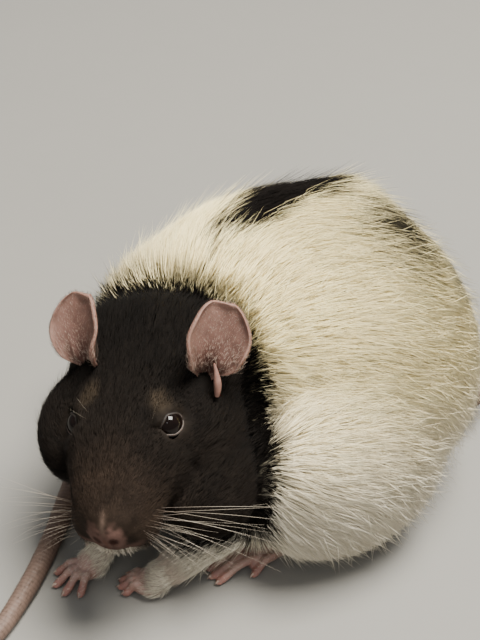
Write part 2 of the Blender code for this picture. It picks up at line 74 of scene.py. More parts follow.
class Slot(Enum):
    """Names of the material slots."""

    WHITE_FUR = "white_fur"
    HOOD_FUR = "hood_fur"
    BARE_SKIN = "bare_skin"
    TAIL_SKIN = "tail_skin"
    EYE = "eye"


def metres(points: Array) -> Array:
    """Points of the modelling frame, in millimetres, as metres in the part's frame."""
    return (np.asarray(points, float) + SHIFT) * MM


def unit(vectors: Array) -> Array:
    """Vectors of length one."""
    vectors = np.asarray(vectors, float)
    return vectors / np.maximum(np.linalg.norm(vectors, axis=-1, keepdims=True), 1e-9)


def blend(low: float, high: float, values: Array) -> Array:
    """A smooth step from 0 at low to 1 at high."""
    share = np.clip((np.asarray(values, float) - low) / (high - low), 0, 1)
    return share * share * (3 - 2 * share)


def mixed(first: Array, second: Array, share: Array) -> Array:
    """Rows of first and second mixed by a share per row."""
    share = np.asarray(share, float)[:, None]
    return first * (1 - share) + second * share


def nearest(points: Array, spots: Iterable) -> Array:
    """How far each point is from the nearest of some spots."""
    return np.min([np.linalg.norm(points - np.array(spot), axis=1) for spot in spots], axis=0)


def wobble(points: Array, size: float, seed: int) -> Array:
    """Smooth noise from -1 to 1.

    Args:
        points: places in millimetres.
        size: the width of one bump.
        seed: picks the pattern.

    Returns:
        One value for each place.
    """
    scaled = np.asarray(points, float) / size + 97.3
    cell = np.floor(scaled).astype(np.int64)
    share = scaled - cell
    share = share * share * (3 - 2 * share)
    total = np.zeros(len(scaled))
    for corner in itertools.product((0, 1), repeat=3):
        key = (cell + corner) @ np.array((73856093, 19349663, 83492791)) + seed * 2654435761
        key = (key ^ (key >> 13)) * 1274126177
        value = ((key ^ (key >> 16)) & 0xFFFF) / 32767.5 - 1
        weight = np.prod(np.where(np.array(corner), share, 1 - share), axis=1)
        total += value * weight
    return total


SWAY_REACH, SWAY_POWER = 27.0, 1.3  # the turn of the nose fades out as far back as the eyes


@dataclass(frozen=True)
class Axes:
    """A point with forward, left and up directions, in millimetres."""

    origin: Array
    forward: Array
    left: Array
    up: Array
    sway: tuple = (0.0, 0.0)

    @classmethod
    def turned(
        cls, origin: tuple, heading: float, pitch: float = 0.0, roll: float = 0.0, sway: tuple = (0.0, 0.0)
    ) -> "Axes":
        """Heading turns to the left from -Y, pitch lowers the front and roll lifts the left side."""
        turn, dip, lean = (math.radians(angle) for angle in (heading, pitch, roll))
        forward = np.array((math.sin(turn) * math.cos(dip), -math.cos(turn) * math.cos(dip), -math.sin(dip)))
        level = np.array((math.cos(turn), math.sin(turn), 0.0))
        left = level * math.cos(lean) + np.cross(forward, level) * math.sin(lean)
        return cls(np.array(origin, float), forward, left, np.cross(forward, left), sway)

    def turned_aside(self, back: Array) -> Array:
        """How far the front end is turned aside at a distance back, as a share of the sway."""
        return np.maximum(0.0, 1 - np.asarray(back, float) / SWAY_REACH) ** SWAY_POWER

    def point(self, back: float, left: float, up: float) -> Array:
        """The place that lies back, left and up of the origin, with the sway in it."""
        share = self.turned_aside(back)
        left, up = left + self.sway[0] * share, up - self.sway[1] * share
        return self.origin - self.forward * back + self.left * left + self.up * up

    def direction(self, forward: float, left: float, up: float) -> Array:
        """The unit direction with these parts."""
        return unit(self.forward * forward + self.left * left + self.up * up)

    def coordinates(self, points: Array) -> Array:
        """Back, left and up of each place."""
        offset = np.asarray(points, float) - self.origin
        back = -offset @ self.forward
        share = self.turned_aside(back)
        left, up = offset @ self.left - self.sway[0] * share, offset @ self.up + self.sway[1] * share
        return np.stack((back, left, up), axis=1)


HEAD = Axes.turned((11.1, -72.4, 36.4), 32.0, 11.0, 9.5, (2.3, 1.0))
BODY = Axes.turned((4.5, 0.0, 0.0), -22.0)
EYE_PLACE = {Side.LEFT: (28.1, 10.8, 6.8), Side.RIGHT: (27.1, 11.5, 5.4)}
EYE_RADIUS = 3.5
EYE_FACING = {Side.LEFT: (0.53, 0.60, 0.60), Side.RIGHT: (0.70, 0.38, 0.60)}
EYE_SLANT = (-0.77, 0.62, -0.16)  # from the inner to the outer corner
EYE_OPENING = (3.4, 2.3)
EAR_ROOT = {Side.LEFT: (40.5, 17.4, 9.6), Side.RIGHT: (40.5, 13.5, 9.6)}
EAR_FACING = {Side.LEFT: (0.78, 0.48, 0.30), Side.RIGHT: (0.88, 0.27, 0.36)}
NOSTRIL_PLACE = (1.0, 1.9, -0.4)


def aside(values: tuple, side: Side) -> tuple:
    """The values with the middle one, which points left, turned to the given side."""
    return values[0], values[1] * side.value, values[2]


def eye_centre(side: Side) -> Array:
    """The middle of an eyeball."""
    return HEAD.point(*aside(EYE_PLACE[side], side))


def eye_axes(side: Side) -> Axes:
    """A frame in an eyeball: forward out of the lids, left to the outer corner, up to the upper lid."""
    facing = HEAD.direction(*aside(EYE_FACING[side], side))
    slant = HEAD.direction(*aside(EYE_SLANT, side))
    slant = unit(slant - facing * (slant @ facing))
    over = np.cross(facing, slant)
    return Axes(eye_centre(side), facing, slant, over * np.sign(over @ HEAD.up))


def lid_line(turn: Array) -> tuple[Array, Array]:
    """The edge of the lids at each turn, along the slant and up, with the inner corner drawn out."""
    front = np.maximum(-np.cos(turn), 0)
    long, tall = EYE_OPENING
    return np.cos(turn) * long * (1 + 0.12 * front), np.sin(turn) * tall * (1 - 0.75 * front) - 0.5 * front


def lid_share(place: Array) -> Array:
    """How far each place in an eye's frame is turned from its middle, 1 on the edge of the lids."""
    along, over = lid_line(np.linspace(-math.pi, math.pi, 90, endpoint=False))
    around = np.arctan2(place[:, 2], place[:, 1])
    edge = np.interp(around, np.arctan2(over, along), np.hypot(along, over), period=2 * math.pi)
    reach = np.maximum(np.linalg.norm(place, axis=1), 1.0)
    return np.arccos(np.clip(-place[:, 0] / reach, -1, 1)) / np.arcsin(np.minimum(edge / EYE_RADIUS, 1.0))


def mesh_of(name: str, points: Array, corners: Array, starts: Array) -> bpy.types.Mesh:
    """A smooth mesh.

    Args:
        name: the mesh's name.
        points: its points in modelling millimetres.
        corners: the point numbers of all faces in turn.
        starts: where each face starts among the corners.

    Returns:
        The mesh, with no edges yet.
    """
    mesh = bpy.data.meshes.new(name)
    mesh.vertices.add(len(points))
    mesh.vertices.foreach_set("co", metres(points).astype(np.float32).ravel())
    mesh.loops.add(len(corners))
    mesh.loops.foreach_set("vertex_index", corners)
    mesh.polygons.add(len(starts))
    mesh.polygons.foreach_set("loop_start", starts)
    mesh.polygons.foreach_set("use_smooth", np.ones(len(starts), bool))
    return mesh


def tinted(mesh: bpy.types.Mesh, colours: Array) -> None:
    """Gives each point of a mesh its colour."""
    layer = mesh.color_attributes.new("tint", "FLOAT_COLOR", "POINT")
    alpha = np.ones((len(colours), 1))
    layer.data.foreach_set("color", np.hstack((colours, alpha)).astype(np.float32).ravel())


def linked(name: str, mesh: bpy.types.Mesh) -> bpy.types.Object:
    """A new object at the origin, with its place in its mesh."""
    made = bpy.data.objects.new(name, mesh)
    bpy.context.scene.collection.objects.link(made)
    return made


@dataclass
class Piece:
    """Arrays of one mesh: points in modelling millimetres, faces and a colour for each point."""

    points: Array
    faces: list
    colours: Array | None = None

    def joined(self, other: "Piece") -> "Piece":
        """This piece and another as one."""
        moved = [tuple(index + len(self.points) for index in face) for face in other.faces]
        colours = None
        if self.colours is not None and other.colours is not None:
            colours = np.vstack((self.colours, other.colours))
        return Piece(np.vstack((self.points, other.points)), list(self.faces) + moved, colours)

    def object(self, name: str, material: bpy.types.Material) -> bpy.types.Object:
        """Makes the mesh object, at the origin, with its place in its mesh.

        Args:
            name: the object's name.
            material: its finish.

        Returns:
            The linked object.
        """
        sizes = np.fromiter((len(face) for face in self.faces), np.int32, len(self.faces))
        corners = np.fromiter(itertools.chain.from_iterable(self.faces), np.int32, int(sizes.sum()))
        starts = np.concatenate(([0], np.cumsum(sizes)[:-1])).astype(np.int32)
        mesh = mesh_of(name, self.points, corners, starts)
        if self.colours is not None:
            tinted(mesh, self.colours)
        mesh.update(calc_edges=True)
        mesh.materials.append(material)
        return linked(name, mesh)


def dressed(obj: bpy.types.Object, slot: Slot, *nodes: str) -> bpy.types.Object:
    """Rides a piece on the body and hides the nodes that it stands for."""
    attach(obj, "root")
    if nodes:
        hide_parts(*nodes)
    triangles = sum(len(face.vertices) - 2 for face in obj.data.polygons)
    LOG.info("%s: %d triangles", obj.name, triangles)
    return obj


def applied(obj: bpy.types.Object, kind: str, **settings: object) -> bpy.types.Object:
    """Applies one modifier to the object's mesh."""
    modifier = obj.modifiers.new(kind.title(), kind)
    for name, value in settings.items():
        setattr(modifier, name, value)
    graph = bpy.context.evaluated_depsgraph_get()
    mesh = bpy.data.meshes.new_from_object(obj.evaluated_get(graph))
    obj.modifiers.clear()
    obj.data = mesh
    return obj


def removed(obj: bpy.types.Object) -> None:
    """Takes a helper object out of the scene."""
    bpy.data.objects.remove(obj, do_unlink=True)


def mesh_arrays(obj: bpy.types.Object) -> tuple[Array, Array, list]:
    """Points in modelling millimetres, normals and faces of an object's mesh."""
    mesh = obj.data
    points = np.empty(len(mesh.vertices) * 3)
    mesh.vertices.foreach_get("co", points)
    normals = np.empty(len(mesh.vertices) * 3)
    mesh.vertex_normals.foreach_get("vector", normals)
    faces = [tuple(face.vertices) for face in mesh.polygons]
    return points.reshape(-1, 3) / MM - SHIFT, normals.reshape(-1, 3), faces


def merged(name: str, nodes: tuple, swell: float = 0.2, extra: list | None = None) -> bpy.types.Object:
    """One object of several nodes' merged copies, swollen a little so that they overlap.

    Args:
        name: the object's name.
        nodes: the node names.
        swell: how far each copy is grown, in millimetres.
        extra: more closed pieces to put in.

    Returns:
        The linked object, in metres.
    """
    points, faces = [], []
    for node in nodes:
        bm = bmesh.new()
        bm.from_mesh(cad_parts[node].data)
        bmesh.ops.remove_doubles(bm, verts=bm.verts, dist=1e-7)
        bm.normal_update()
        start = sum(len(block) for block in points)
        points.append(np.array([vert.co + vert.normal * swell * MM for vert in bm.verts]))
        faces += [tuple(vert.index + start for vert in face.verts) for face in bm.faces]
        bm.free()
    for piece in extra or []:
        start = sum(len(block) for block in points)
        points.append(metres(piece.points))
        faces += [tuple(index + start for index in face) for face in piece.faces]
    mesh = bpy.data.meshes.new(name)
    mesh.from_pydata(np.vstack(points), [], faces)
    return linked(name, mesh)


def turned_outward(obj: bpy.types.Object) -> None:
    """Turns all faces of a closed mesh outward."""
    bm = bmesh.new()
    bm.from_mesh(obj.data)
    bmesh.ops.recalc_face_normals(bm, faces=bm.faces)
    bm.to_mesh(obj.data)
    bm.free()


def ring_faces(rings: int, sides: int) -> list:
    """Faces of a closed tube, whose points are its rings in turn and then the middles of its ends."""
    faces, first, last = [], rings * sides, rings * sides + 1
    for ring in range(rings - 1):
        for step in range(sides):
            a, b = ring * sides + step, ring * sides + (step + 1) % sides
            faces.append((a, b, b + sides, a + sides))
    for step in range(sides):
        after, top = (step + 1) % sides, (rings - 1) * sides
        faces.append((after, step, first))
        faces.append((top + step, top + after, last))
    return faces


def tube(path: Array, radii: Array, sides: int = 12) -> Piece:
    """A closed round tube through points."""
    path = np.asarray(path, float)
    ahead = unit(np.gradient(path, axis=0))
    side = unit(np.cross(ahead[0], (0.1, 0.2, 1.0)))
    rings = []
    for point, along, radius in zip(path, ahead, radii):
        side = unit(side - along * (side @ along))
        over = np.cross(along, side)
        turn = np.linspace(0, 2 * math.pi, sides, endpoint=False)[:, None]
        rings.append(point + radius * (np.cos(turn) * side + np.sin(turn) * over))
    return Piece(np.vstack(rings + [path[:1], path[-1:]]), ring_faces(len(path), sides))


def catmull(rows: Array, steps: int) -> Array:
    """Rows with smooth rows put in between each two."""
    rows = np.asarray(rows, float)
    padded = np.vstack((rows[:1], rows, rows[-1:]))
    made = []
    for index in range(len(rows) - 1):
        a, b, c, d = padded[index : index + 4]
        for t in np.arange(steps) / steps:
            square = (2 * a - 5 * b + 4 * c - d) * t**2
            cube = (3 * b - a - 3 * c + d) * t**3
            made.append(0.5 * (2 * b + (c - a) * t + square + cube))
    made.append(rows[-1])
    return np.array(made)


CREAM = np.array((0.92, 0.79, 0.44))
WHITE = np.array((0.86, 0.79, 0.64))
BLACK = np.array((0.0058, 0.0043, 0.0032))
CHARCOAL = np.array((0.0120, 0.0088, 0.0066))
MUZZLE_BROWN = np.array((0.029, 0.0192, 0.0134))
TAN = np.array((0.085, 0.062, 0.040))
NOSE_PINK = np.array((0.105, 0.060, 0.049))
DARK_PINK = np.array((0.10, 0.045, 0.035))
WRIST_PINK = np.array((0.50, 0.33, 0.27))
LIP_WHITE = np.array((0.60, 0.54, 0.44))
LID_GREY = np.array((0.095, 0.076, 0.065))
LID_DARK = np.array((0.020, 0.014, 0.011))
# painted highlight: the pale colour of the streak down the ridge of the nose
NOSE_RIDGE_HIGHLIGHT = np.array((0.19, 0.130, 0.100))
# Painted shade: the ear's pink, rim and pale down colours are darker than the ear's own, for the shade that
# it lies in.
EAR_PINK = np.array((0.185, 0.101, 0.079))
EAR_RIM = np.array((0.37, 0.225, 0.175))
EAR_BACK = np.array((0.115, 0.072, 0.056))
EAR_BACK_RIM = np.array((0.24, 0.13, 0.10))
EAR_HOLLOW_SHADE = np.array((0.72, 0.90, 0.90))  # how much of each colour the painted shade in the hollow takes away; it takes less red, so the hollow is redder too
EAR_DOWN_DARK = np.array((0.05, 0.036, 0.028))
EAR_DOWN_PALE = np.array((0.38, 0.29, 0.235))
LOBE_PINK = np.array((0.21, 0.115, 0.09))
# Painted shade: the paw colours are darker than the paws' own skin, for the shade that the paws lie in.
PAW_PINK = np.array((0.30, 0.185, 0.15))
PAW_TOP = np.array((0.40, 0.26, 0.215))
TOE_TIP = np.array((0.33, 0.165, 0.135))
CLAW_DARK = np.array((0.33, 0.22, 0.17))
CLAW_PALE = np.array((0.46, 0.36, 0.29))
# Painted shade: the tail colours are darker than the tail's own skin, for the shade that it lies in.
TAIL_BROWN = np.array((0.135, 0.089, 0.065))
TAIL_PALE = np.array((0.155, 0.102, 0.080))
BRISTLE_BROWN = np.array((0.17, 0.12, 0.09))
WHISKER_DARK = np.array((0.10, 0.07, 0.05))
WHISKER_PALE = np.array((0.55, 0.48, 0.38))


@dataclass(frozen=True)
class Markings:
    """Where the coat is dark, brown, cream or white."""

    hood_x: tuple = (-52, -40, -28, -12, 2, 11, 15, 19, 23, 26)
    hood_y: tuple = (-24, -22, -19.2, -18.4, -19.2, -21.6, -23.6, -26.5, -30.5, -35)
    hood_floor: tuple = (15.0, 21.0)
    saddle: tuple = (-16.5, 8.0, 17.8, 8.0, 14.0)
    saddle_heading: tuple = (0.25, 0.97)
    saddle_skew: float = 0.47
    flank_patch: tuple = (9.8, 20.8, 79.4, 10.0)
    side_spot: tuple = (24.0, 31.0, 66.0, 5.0)

    def darkness(self, points: Array, head: Array, legs: Array, draw: Array) -> Array:
        """How dark the coat is at each root.

        Args:
            points: the roots.
            head: how far each root belongs to head and neck, from 0 to 1.
            legs: how far it belongs to a foreleg.
            draw: a random number for each root, which breaks up the edges.

        Returns:
            A value from 0 to 1 for each root.
        """
        edge = np.interp(points[:, 0], self.hood_x, self.hood_y) + 5.0 * legs
        ragged = wobble(points, 5.0, 3) * 1.2 + wobble(points, 1.6, 13) * 1.4 + (draw - 0.5) * 4.2
        hood = blend(-0.6, 0.6, edge - points[:, 1] + ragged)
        floor = blend(*self.hood_floor, points[:, 2] + 2 * wobble(points, 6.0, 4))
        cuff = 13.6 + 0.39 * np.maximum(points[:, 0] - 9.4, 0) + 7.0 * (points[:, 0] < 0)
        sleeve = blend(-1.2, 1.2, points[:, 2] - cuff + 3 * (draw - 0.5) + wobble(points, 2.5, 36))
        share = blend(0.3, 0.6, legs)
        hood *= floor * (1 - share) + sleeve * share
        up = HEAD.coordinates(points)[:, 2]
        throat = 1 - blend(-27.0, -24.0, up + 1.5 * wobble(points, 5.0, 12) + (draw - 0.5) * 3)
        throat *= 1 - blend(0.25, 0.5, legs)
        hood = np.maximum(hood, blend(0.35, 0.65, head)) * (1 - throat)
        x, y, long_reach, near_reach, far_reach = self.saddle
        along = np.array(self.saddle_heading)
        offset = points[:, :2] - (x, y)
        cross = offset @ np.array((along[1], -along[0]))
        run = (offset @ along + self.saddle_skew * cross) / long_reach
        cross = np.maximum(cross / near_reach, -cross / far_reach)
        reach = np.cbrt(np.abs(run) ** 3 + cross**3) + 0.2 * wobble(points, 3.5, 5)
        reach += (draw - 0.5) * (0.35 + 0.5 * blend(-0.2, 0.9, run))
        saddle = (1 - blend(0.94, 1.04, reach)) * (points[:, 2] > 55)
        spots = []
        for *centre, radius in (self.flank_patch, self.side_spot):
            reach = np.linalg.norm(points - np.array(centre), axis=1) / radius
            broken = reach + 0.45 * wobble(points, 2.6, 6) + (draw - 0.5) * 1.3
            spots.append(0.95 * (broken < 0.95).astype(float))
        return np.maximum.reduce([hood, saddle, *spots])

    def pale(self, points: Array) -> Array:
        """Colours of the pale coat: yellowish on the back, whiter below."""
        cream = mixed(WHITE, CREAM, blend(22, 62, points[:, 2]))
        return cream * (1 + 0.05 * wobble(points, 9.0, 7))[:, None]

    def face(self, place: Array, points: Array) -> Array:
        """Colours of the dark coat: browner on the muzzle, with tan round the eyes and a painted highlight
        down the ridge of the nose.

        Args:
            place: back, left and up in the head's frame.
            points: the same places in the modelling frame.

        Returns:
            A colour for each place.
        """
        back, left, up = place.T
        colours = mixed(BLACK, CHARCOAL, 1 - blend(20, 46, back))
        colours = mixed(colours, MUZZLE_BROWN, 1 - blend(9, 25, back + 0.35 * np.abs(left)))
        for side in Side:
            brow = HEAD.point(*aside((30.5, 9.0, 11.0), side))
            reach = np.linalg.norm(points - brow, axis=1)
            colours = mixed(colours, TAN, 0.5 * (1 - blend(0.5, 4.0, reach)))
            reach = np.linalg.norm(points - eye_centre(side), axis=1)
            colours = mixed(colours, TAN, 0.08 * (1 - blend(4.0, 6.0, reach)))
        # Painted highlight: a paler streak down the middle of the nose, where light catches its ridge.
        nose_ridge_highlight = np.exp(-((left / 0.65) ** 2)) * (1 - blend(2.5, 6.0, back)) * blend(-2.6, -1.6, up)
        colours = mixed(colours, NOSE_RIDGE_HIGHLIGHT, 0.6 * nose_ridge_highlight)
        belly = (1 - blend(-6.4, -4.0, up + 0.5 * wobble(points, 1.2, 35))) * (1 - blend(14, 20, back))
        belly *= 1 - blend(5, 8, np.abs(left))
        colours = mixed(colours, LIP_WHITE, belly)
        return colours * (1 + 0.22 * wobble(points, 3.0, 8) + 0.3 * wobble(points, 0.9, 37))[:, None]

    def coat(self, points: Array, head: Array, legs: Array, draw: Array) -> Array:
        """The colour of the coat at each root, with the arguments of darkness."""
        place = HEAD.coordinates(points)
        dark = mixed(BLACK, self.face(place, points), head)
        wrist = nearest(points, WRIST.values())
        pale = mixed(self.pale(points), WRIST_PINK, 0.55 * legs * (1 - blend(4, 9, wrist)))
        return mixed(pale, dark, self.darkness(points, head, legs, draw))

    def skin(self, points: Array, head: Array, legs: Array) -> Array:
        """The colour of the skin under the coat, darkened as painted shade, with nose, lips and lids."""
        draw = np.full(len(points), 0.5)
        colours = self.coat(points, head, legs, draw)
        # Painted shade: the skin is drawn darker than the coat above it, for the shade down among the hairs,
        # and darker still under the dark coat.
        colours = colours * (0.55 + 0.3 * blend(0.1, 0.5, colours[:, :1]))
        back, left, up = HEAD.coordinates(points).T
        wing = np.sqrt(((np.abs(left) - 2.2) / 2.3) ** 2 + ((up + 0.2) / 2.8) ** 2)
        wing = wing + 0.3 * wobble(points, 0.9, 33)
        snout = (1 - blend(0.7, 1.4, wing)) * (1 - blend(3.0, 4.6, back)) * head
        colours = mixed(colours, NOSE_PINK, snout)
        lips = (1 - blend(2.5, 4.5, back)) * (1 - blend(-3.4, -2.2, up)) * blend(-8.5, -6.5, up) * head
        colours = mixed(colours, NOSE_PINK * 0.8, lips * 0.7)
        for side in Side:
            # Painted shade: the skin round each nostril is darkened for the shade inside the opening.
            reach = np.linalg.norm(points - HEAD.point(*aside(NOSTRIL_PLACE, side)), axis=1)
            colours = mixed(colours, DARK_PINK * 0.35, 1 - blend(0.95, 1.5, reach))
            reach = np.linalg.norm(points - eye_centre(side), axis=1)
            colours = mixed(colours, LID_GREY * 0.3, 0.5 * (1 - blend(3.6, 4.0, reach)))
        philtrum = (1 - blend(0.2, 0.55, np.abs(left))) * (1 - blend(1.5, 3.0, back)) * (up < 0.5) * head
        return mixed(colours, DARK_PINK, 0.6 * philtrum)


MARKINGS = Markings()


@dataclass(frozen=True)
class CoatTable:
    """How the coat grows along one line of the rat, row by row, in millimetres and degrees."""

    places: tuple
    depth: tuple
    length: tuple
    width: tuple
    density: tuple
    lift: tuple

    def at(self, name: str, places: Array) -> Array:
        """One column's values at places along the line."""
        return np.interp(places, self.places, getattr(self, name))


HEAD_COAT = CoatTable(
    places=(0, 2.4, 3.4, 6, 12, 20, 30, 40, 50, 60),
    depth=(0, 0.02, 0.1, 0.25, 0.4, 0.7, 1.1, 1.9, 2.9, 3.4),
    length=(0.4, 0.5, 0.9, 1.5, 2.3, 3.3, 4.5, 6.2, 8.2, 9.5),
    width=(0.06, 0.07, 0.08, 0.095, 0.11, 0.13, 0.155, 0.18, 0.21, 0.24),
    density=(0, 6, 12, 17, 17, 14, 11, 8.5, 6.5, 5.5),
    lift=(18, 18, 18, 18, 18, 19, 21, 23, 24, 25),
)
TRUNK_COAT = CoatTable(
    places=(0, 4, 12, 30, 90),
    depth=(0.9, 1.6, 2.9, 3.4, 3.5),
    length=(4, 6, 9, 10.5, 11),
    width=(0.2, 0.22, 0.24, 0.245, 0.245),
    density=(3.0, 4.0, 5.0, 5.3, 5.3),
    lift=(16, 19, 23, 24, 24),
)
FORELEG_COAT = CoatTable(
    places=(0, 4, 10, 20, 34),
    depth=(0.25, 0.5, 1.1, 2.0, 2.8),
    length=(2.4, 3.4, 5.0, 6.8, 8.4),
    width=(0.11, 0.13, 0.17, 0.2, 0.23),
    density=(12, 10, 8, 6.5, 5.5),
    lift=(17, 19, 21, 23, 24),
)
WRIST = {Side.LEFT: (9.5, -52, 7), Side.RIGHT: (-8, -58.5, 6)}
ELBOW = {Side.LEFT: (15.5, -30, 20), Side.RIGHT: (-20, -44, 13)}
SHOULDER = {Side.LEFT: (4, -25, 30), Side.RIGHT: (-23, -30, 30)}
# The middle of the trunk, from the neck to the rump.
TRUNK_LINE = (
    (-39, -31, 32),
    (-37, -20, 34),
    (-30, -8, 38),
    (-14, 4, 41),
    (0, 13, 42),
    (9, 22, 41),
    (18, 36, 37),
    (25, 48, 31),
)
HEAD_NODES = ("neck", "head", "muzzle")
BODY_NODES = ("torso", "haunch_left", "haunch_right", "foreleg_left", "foreleg_right", *HEAD_NODES)


@dataclass
class Surface:
    """A skin as arrays, with what the coat needs at each point."""

    points: Array
    normals: Array
    faces: list
    head: Array
    legs: Array
    growing: Array
    columns: dict = field(default_factory=dict)
    lie: Array | None = None

    def edges(self) -> Array:
        """Each pair of joined points."""
        pairs = {(min(a, b), max(a, b)) for face in self.faces for a, b in zip(face, face[1:] + face[:1])}
        return np.array(sorted(pairs))

    def smoothed(self, values: Array, edges: Array, rounds: int) -> Array:
        """Values averaged with their neighbours', a few times over."""
        count = len(self.points)
        degree = np.bincount(edges.ravel(), minlength=count)[:, None]
        values = values.reshape(count, -1)
        for _ in range(rounds):
            total = np.empty_like(values)
            for column in range(values.shape[1]):
                total[:, column] = np.bincount(edges[:, 0], values[edges[:, 1], column], count)
                total[:, column] += np.bincount(edges[:, 1], values[edges[:, 0], column], count)
            values = 0.5 * values + 0.5 * total / degree
        return values

    def triangles(self) -> Array:
        """Three point numbers for each triangle."""
        made = []
        for face in self.faces:
            made += [(face[0], face[step], face[step + 1]) for step in range(1, len(face) - 1)]
        return np.array(made)


@dataclass(frozen=True)
class Lie:
    """The way in which the coat lies, from nose to rump and down the sides and legs."""

    flank_fall: tuple = (6.0, 50.0)
    face_spread: float = 0.30
    neck_reach: float = 42.0
    neck_spread: float = 1.25

    def over_trunk(self, points: Array, normals: Array) -> Array:
        """Directions along the trunk, turned down on its sides."""
        line = catmull(TRUNK_LINE, 6)
        ahead = unit(np.gradient(line, axis=0))
        nearest = np.argmin(((points[:, None, :] - line[None]) ** 2).sum(axis=2), axis=1)
        along = ahead[nearest]
        down = np.array((0.0, 0.0, -1.0)) - normals * -normals[:, 2:3]
        low, high = (math.radians(angle) for angle in self.flank_fall)
        fall = low + (high - low) * (1 - blend(-0.35, 0.85, normals[:, 2]))
        flow = unit(along) * np.cos(fall)[:, None] + unit(down) * np.sin(fall)[:, None]
        back, left, up = HEAD.coordinates(points).T
        across = unit(HEAD.left * left[:, None] + HEAD.up * up[:, None])
        fan = unit(-HEAD.forward + across * self.neck_spread + np.array((0.0, 0.0, -0.25)))
        reach = np.sqrt(np.maximum(back - 55, 0) ** 2 + (0.5 * left) ** 2 + (0.5 * up) ** 2)
        return mixed(flow, fan, 1 - blend(4.0, self.neck_reach, reach))

    def over_head(self, points: Array) -> Array:
        """Directions back from the nose, spread out from its line and round the eyes."""
        place = HEAD.coordinates(points)
        across = HEAD.left * place[:, 1:2] + HEAD.up * place[:, 2:3]
        made = -HEAD.forward + unit(across) * self.face_spread
        for side in Side:
            offset = points - eye_centre(side)
            reach = np.linalg.norm(offset, axis=1, keepdims=True)
            made = made + unit(offset) * 1.6 * np.exp(-np.maximum(reach - 3.6, 0) / 1.8)
        chin = (1 - blend(-3.6, -2.4, place[:, 2])) * (1 - blend(5, 11, place[:, 0]))
        made = made + (0.9 * HEAD.forward - 1.6 * HEAD.up) * chin[:, None]
        return unit(made)

    def over_legs(self, points: Array) -> Array:
        """Directions down each foreleg to its wrist."""
        made = np.zeros_like(points)
        for index, row in enumerate(points):
            side = min(Side, key=lambda one: np.linalg.norm(row - np.array(ELBOW[one])))
            upper = unit(np.array(ELBOW[side], float) - SHOULDER[side])
            lower = unit(np.array(WRIST[side], float) - ELBOW[side])
            share = np.clip((row - np.array(ELBOW[side])) @ lower / 6 + 0.5, 0, 1)
            made[index] = upper * (1 - share) + lower * share
        return unit(made)

    def over(self, surface: Surface) -> Array:
        """Unit directions in the skin's own surface for every point."""
        points, normals = surface.points, surface.normals
        back = HEAD.coordinates(points)[:, 0]
        head_share = surface.head * (1 - blend(48, 66, back))
        made = mixed(self.over_trunk(points, normals), self.over_head(points), head_share)
        near = surface.legs > 0.02
        if near.any():
            made[near] = mixed(made[near], self.over_legs(points[near]), surface.legs[near])
        made = made + 0.16 * np.cross(normals, made) * wobble(points, 14.0, 11)[:, None]
        made -= normals * (made * normals).sum(axis=1, keepdims=True)
        return unit(made)


